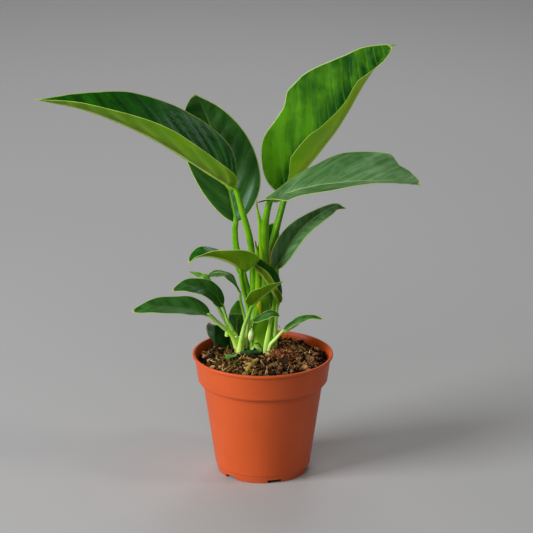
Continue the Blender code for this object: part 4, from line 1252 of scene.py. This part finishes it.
def old_leaf_finish(name, dark, light, dry, top, crack):
    """Leathery and dark, of another hue above a dead line at a height, split at a crack."""
    material, spot = start_finish(name, {"Specular IOR Level": 0.16})
    mottle = spot.grain(0.006, 4.0, 0.65)
    height = spot.along("Z") + 0.0060 * (mottle - 0.5)
    aside = spot.along("X") + 0.0035 * (spot.grain(0.009, 2.0) - 0.5)
    colour = (mottle.step(0.35, 0.75) * 0.5).blend(dark, light)
    colour = height.step(top - 0.002, top + 0.001).blend(colour, dry)
    dead = abs(height - top).step(0.0006, 0.0002)
    split = abs(aside - crack).step(0.0006, 0.0002) * height.step(top - 0.002, top - 0.004)
    colour = (dead.maths("MAXIMUM", dead, split) * 0.7).blend(colour, DEAD_TISSUE)
    return end_finish(material, colour, 0.38 + 0.25 * mottle, mottle, 0.0006)


def inside(spot, rim):
    """Whether a flat spot lies inside a closed rim."""
    odd = False
    for a, b in zip(rim, rim[1:] + rim[:1]):
        if (a.y > spot.y) != (b.y > spot.y):
            odd ^= spot.x < a.x + (b.x - a.x) * (spot.y - a.y) / (b.y - a.y)
    return odd


def scrap_mesh(name, edge, depth, crumple):
    """A thin scrap cut to an edge of (x, z) points in mm at a depth, crumpled and torn."""
    knots = [Vector((x, depth, z)) for x, z in edge]
    count = len(knots)
    rim = []
    for step in range(count * 8):
        span, t = divmod(step / 8, 1.0)
        around = [knots[int(span + shift) % count] for shift in (-1, 0, 1, 2)]
        place_at = path_point(around, (1 + t) / 3)
        tears = [noise.noise(place_at / 1.6 + Vector((0, shift, 0))) for shift in (3.7, 9.4)]
        rim.append(Vector((place_at.x, place_at.z)) + Vector(tears) * TEAR)
    web = []
    left, low = (min(spot[axis] for spot in rim) for axis in (0, 1))
    right, high = (max(spot[axis] for spot in rim) for axis in (0, 1))
    for line in range(int((high - low) / WEB) + 1):
        for step in range(int((right - left) / WEB) + 1):
            spot = Vector((left + (step + 0.5 * (line % 2)) * WEB, low + line * WEB))
            if inside(spot, rim) and min((spot - other).length for other in rim) > 0.5 * WEB:
                web.append(spot)
    flat, _, faces, *_ = delaunay_2d_cdt(rim + web, [], [list(range(len(rim)))], 1, 1e-6)
    front = []
    for point in flat:
        spot = Vector((point.x, depth, point.y))
        spot.y += crumple(spot) + 0.8 * noise.noise(spot / 6.0)
        front.append(spot * MM)
    back = [spot + Vector((0, SCRAP_THICKNESS * MM, 0)) for spot in front]
    faces = [tuple(face) for face in faces]
    sides = {(a, b) for face in faces for a, b in zip(face, face[1:] + face[:1])}
    seam = sorted((a, b) for a, b in sides if (b, a) not in sides)
    size = len(front)
    faces = faces + [tuple(index + size for index in face[::-1]) for face in faces] \
        + [(b, a, a + size, b + size) for a, b in seam]
    mesh = bpy.data.meshes.new(name)
    mesh.from_pydata(front + back, [], faces)
    mesh.shade_smooth()
    return mesh


def lean_left(spot):
    """Folded along its midrib, and leaning back."""
    return 0.55 * abs(spot.x + 41.0) + 0.25 * (spot.z - 104)


def lean_back(spot):
    """Likewise, but less of both."""
    return 0.10 * (spot.z - 104) + 0.25 * abs(spot.x + 22.5)


def droop(spot):
    """Bowed, so that both ends come forwards."""
    return -0.5 * (spot.x + 29) ** 2 / 16


OLD_SKIN = old_leaf_finish("old_leaf", OLD_GREEN, (0.024, 0.095, 0.012), DRIED_TIP,
                           0.1245, -0.0480)
TORN_SKIN = old_leaf_finish("torn_leaf", OLD_GREEN, OLD_LIGHT, OLD_LIGHT, 0.1340, -0.0222)
LEAFLET_SKIN = old_leaf_finish("leaflet", (0.09, 0.32, 0.06), (0.24, 0.55, 0.14), OLD_LIGHT,
                               0.2, 0.0)
# Each: its finish, its depth, how it is crumpled, and its edge.
scraps = {
    "old_leaf_left": (OLD_SKIN, 12.0, lean_left, (
        (-38.0, 99), (-41, 104.9), (-43, 110.3), (-46.6, 113.9), (-48.7, 119.4), (-46.6, 124.8),
        (-43.0, 124.2), (-36.6, 123.0), (-32.3, 120.3), (-29.7, 113.9), (-26.5, 105.8),
        (-28, 99))),
    "old_leaf_back": (TORN_SKIN, 14.0, lean_back, (
        (-26.0, 100), (-29.4, 120), (-29.2, 130.6), (-28.6, 133.7), (-26.8, 138.8),
        (-24.4, 142.7), (-21.6, 145.6), (-19.1, 143.7), (-17.7, 138.2), (-15.2, 128.5),
        (-15.2, 116), (-18, 100))),
    "soil_leaflet": (LEAFLET_SKIN, -14.0, droop, (
        (-22.6, 109.2), (-26.3, 107.8), (-32.6, 108.8), (-31.0, 106.6), (-31.6, 105.0),
        (-30.2, 104.6), (-29.7, 102.2), (-28.2, 104.2), (-26.6, 105.2), (-25.0, 105.7),
        (-22.4, 107.2))),
}
for name, (skin, depth, crumple, edge) in scraps.items():
    mesh = scrap_mesh("scrap_" + name, edge, depth, crumple)
    fix(place("scrap_" + name, mesh, skin), "leaf", name)

# Lumps of bark, each its x, y, length and width in mm, and its turn in degrees.
BARK_SKIN = peat_finish("bark_lump", BARK, 0.9)
BARK_LUMPS = ((25, 22, 9, 6, 20), (42, 18, 7, 5, 70), (-22, -34, 8, 5, 110), (20, -30, 7, 5, 160),
              (-4, 36, 9, 6, 40))
BARK_RISE = 2.4                    # how high a lump would stand on flat ground


def bark_lump(index, x, y, length, width, turn):
    """A blocky lump of bark, half sunk in the soil."""
    lump = bmesh.new()
    bmesh.ops.create_icosphere(lump, subdivisions=4, radius=0.5)
    for vert in lump.verts:
        knobs = 0.5 * noise.noise(vert.co * 3.0 + Vector((index, 0, 0)))
        blocky = vert.co.normalized() * 0.5 * (1.0 + knobs + 0.25 * noise.noise(vert.co * 9.0))
        vert.co = Vector((blocky.x * length, blocky.y * width, blocky.z * BARK_RISE * 1.5))
    bmesh.ops.rotate(lump, verts=lump.verts, matrix=Matrix.Rotation(math.radians(turn), 3, "Z"))
    bmesh.ops.translate(lump, verts=lump.verts, vec=(x, y, ground(x, y) + BARK_RISE * 0.3))
    bmesh.ops.scale(lump, verts=lump.verts, vec=(MM, MM, MM))
    return to_mesh("bark_lump", lump, smooth=False)


for index, sizes in enumerate(BARK_LUMPS, 1):
    lump = place(f"bark_lump_{index}", bark_lump(index, *sizes), BARK_SKIN)
    fix(lump, "bark", f"bark_chip_{index}")

TWIG_SKIN = sheath_finish("mossy_twig", (
    (0.0, (0.30, 0.25, 0.03)), (0.4, (0.55, 0.42, 0.12)), (0.7, (0.36, 0.32, 0.03)),
    (1.0, (0.70, 0.55, 0.25))), 0.7)
WOOD_SKIN = sheath_finish("split_wood", (
    (0.0, (0.50, 0.28, 0.12)), (0.5, (0.85, 0.58, 0.34)), (1.0, (0.45, 0.22, 0.09))), 0.7)
# Each: its finish, the nodes it stands for, its slot, and its course and radii.
lying = {
    "leaflet_stem": (SKINS["pale_sheath"], (), "stalk", (
        (-22.6, -14, 107.9), (-20.3, -12.5, 105.3), (-17.6, -9.5, 104.0)), (0.7, 0.8, 0.9)),
    "mossy_twig": (TWIG_SKIN, ("twig",), "bark", (
        (-13.8, -40, 102.0), (-12.4, -37, 103.2), (-10.2, -32, 104.6), (-7.6, -27, 105.4),
        (-4.4, -22, 106.8)), (1.1, 2.4, 1.9, 2.0, 1.1)),
    "split_wood": (WOOD_SKIN, ("splinter",), "bark", (
        (38.5, -3, 100.8), (41.5, 0, 101.6), (44.0, 3, 102.2), (47.5, 7, 102.4)),
        (0.5, 1.0, 1.1, 0.3)),
    "root_curl": (WOOD_SKIN, (), "bark", (
        (11.6, 9, 120), (12.0, 8, 125.6), (13.4, 8, 126.6), (14.8, 8, 124.0)),
        (0.3, 0.3, 0.3, 0.2)),
}
for name, (skin, nodes, slot, knots, radii) in lying.items():
    fix(make_stalk(name, knots, radii, FRONT, 0.0, 30, skin), slot, *nodes)


def rolled_mesh(name, start, end, radii, wall, arch, sides=24):
    """A leaf rolled to a tube from its pointed start to its open end, with a hollow inside."""
    start, end = Vector(start), Vector(end)
    axis = (end - start).normalized()
    steps = len(radii) - 1
    rings = [(step / steps, radius) for step, radius in enumerate(radii)]
    rings += [(1.0, radii[-1] - wall), (0.8, radii[-2] - wall), (0.55, 0.3)]
    arched = []
    for along, radius in rings:
        rise = Vector((0, 0, arch * math.sin(math.pi * along)))
        arched.append((start.lerp(end, along) + rise, axis, radius))
    return to_mesh(name, tube(arched, sides))


STUB_START, STUB_END = (-1.4, -8.6, 107.6), (-19.2, -9.4, 107.6)
STUB_RADII, STUB_WALL, STUB_ARCH = (0.3, 0.9, 1.6, 2.0, 2.1, 1.9, 1.7, 1.6), 0.5, 0.9
STUB_SKIN = old_leaf_finish("rolled_leaf", (0.012, 0.075, 0.020), (0.030, 0.150, 0.030),
                            OLD_LIGHT, 0.3, 0.0)
stub = rolled_mesh("rolled_stub", STUB_START, STUB_END, STUB_RADII, STUB_WALL, STUB_ARCH)
fix(place("rolled_stub", stub, STUB_SKIN), "leaf", "leaf_stub")

# -------------------------------------------------------------------- studio
# A pale seamless floor and five lamps: a broad key from the left, warm fills from
# the front and the right, a fill behind and a small rim lamp beside that one.  The
# front and back fills stay out of the gloss.
CAMERA_PLACE = (0.00316, -2.82617, 1.11135)
CAMERA_PITCH = 71.804
CAMERA_LENS = 237.07


def lamp(name, place_at, aim, size, power, colour=(1.0, 1.0, 1.0), glossy=True):
    """A square softbox that looks at a point; glossy says if it shows in reflections."""
    light = bpy.data.lights.new(name, "AREA")
    light.size, light.energy, light.color = size, power, colour
    thing = bpy.data.objects.new(name, light)
    thing.visible_glossy = glossy
    thing.location = place_at
    thing.rotation_euler = (Vector(aim) - Vector(place_at)).to_track_quat("-Z", "Y").to_euler()
    scene_collection.objects.link(thing)


lamp("key_softbox", (-1.90, -1.00, 1.05), (0, 0, 0.18), 1.1, 58.0)
lamp("front_softbox", (-0.5, -2.0, 2.0), (0, 0, 0.18), 1.2, 13.0, (1.0, 0.98, 0.94), False)
lamp("right_softbox", (1.55, -0.45, 1.75), (0, 0, 0.22), 0.40, 6.0, (1.0, 0.95, 0.88))
lamp("back_softbox", (-0.2, 1.5, 1.5), (0, 0, 0.22), 1.3, 9.0, (1.0, 1.0, 1.0), False)
lamp("rim_softbox", (0.30, 1.45, 1.20), (0, 0, 0.25), 0.40, 2.5, (0.92, 0.97, 1.0))
world = bpy.data.worlds.new("pale_room")
world.use_nodes = True
world.node_tree.nodes["Background"].inputs["Color"].default_value = (0.84, 0.82, 0.80, 1.0)
world.node_tree.nodes["Background"].inputs["Strength"].default_value = 0.08
bpy.context.scene.world = world
bpy.context.scene.view_settings.view_transform = "Standard"

floor_mesh = bpy.data.meshes.new("floor")
floor_mesh.from_pydata([(-6, -4, 0), (6, -4, 0), (6, 8, 0), (-6, 8, 0)], [], [(0, 1, 2, 3)])
floor_paint, floor_spot = start_finish("pale_paper", {})
floor_tone = floor_spot.grain(0.9, 2.0)
end_finish(floor_paint, floor_tone.blend((0.44, 0.44, 0.445), (0.47, 0.47, 0.475)),
           0.8 + 0.05 * floor_tone, floor_spot.grain(0.002), 0.00005)
place("floor", floor_mesh, floor_paint)

camera = bpy.data.cameras.new("camera")
camera.lens, camera.sensor_width = CAMERA_LENS, 36.0
viewpoint = bpy.data.objects.new("camera", camera)
viewpoint.location = CAMERA_PLACE
viewpoint.rotation_euler = (math.radians(CAMERA_PITCH), 0, 0)
scene_collection.objects.link(viewpoint)
bpy.context.scene.camera = viewpoint
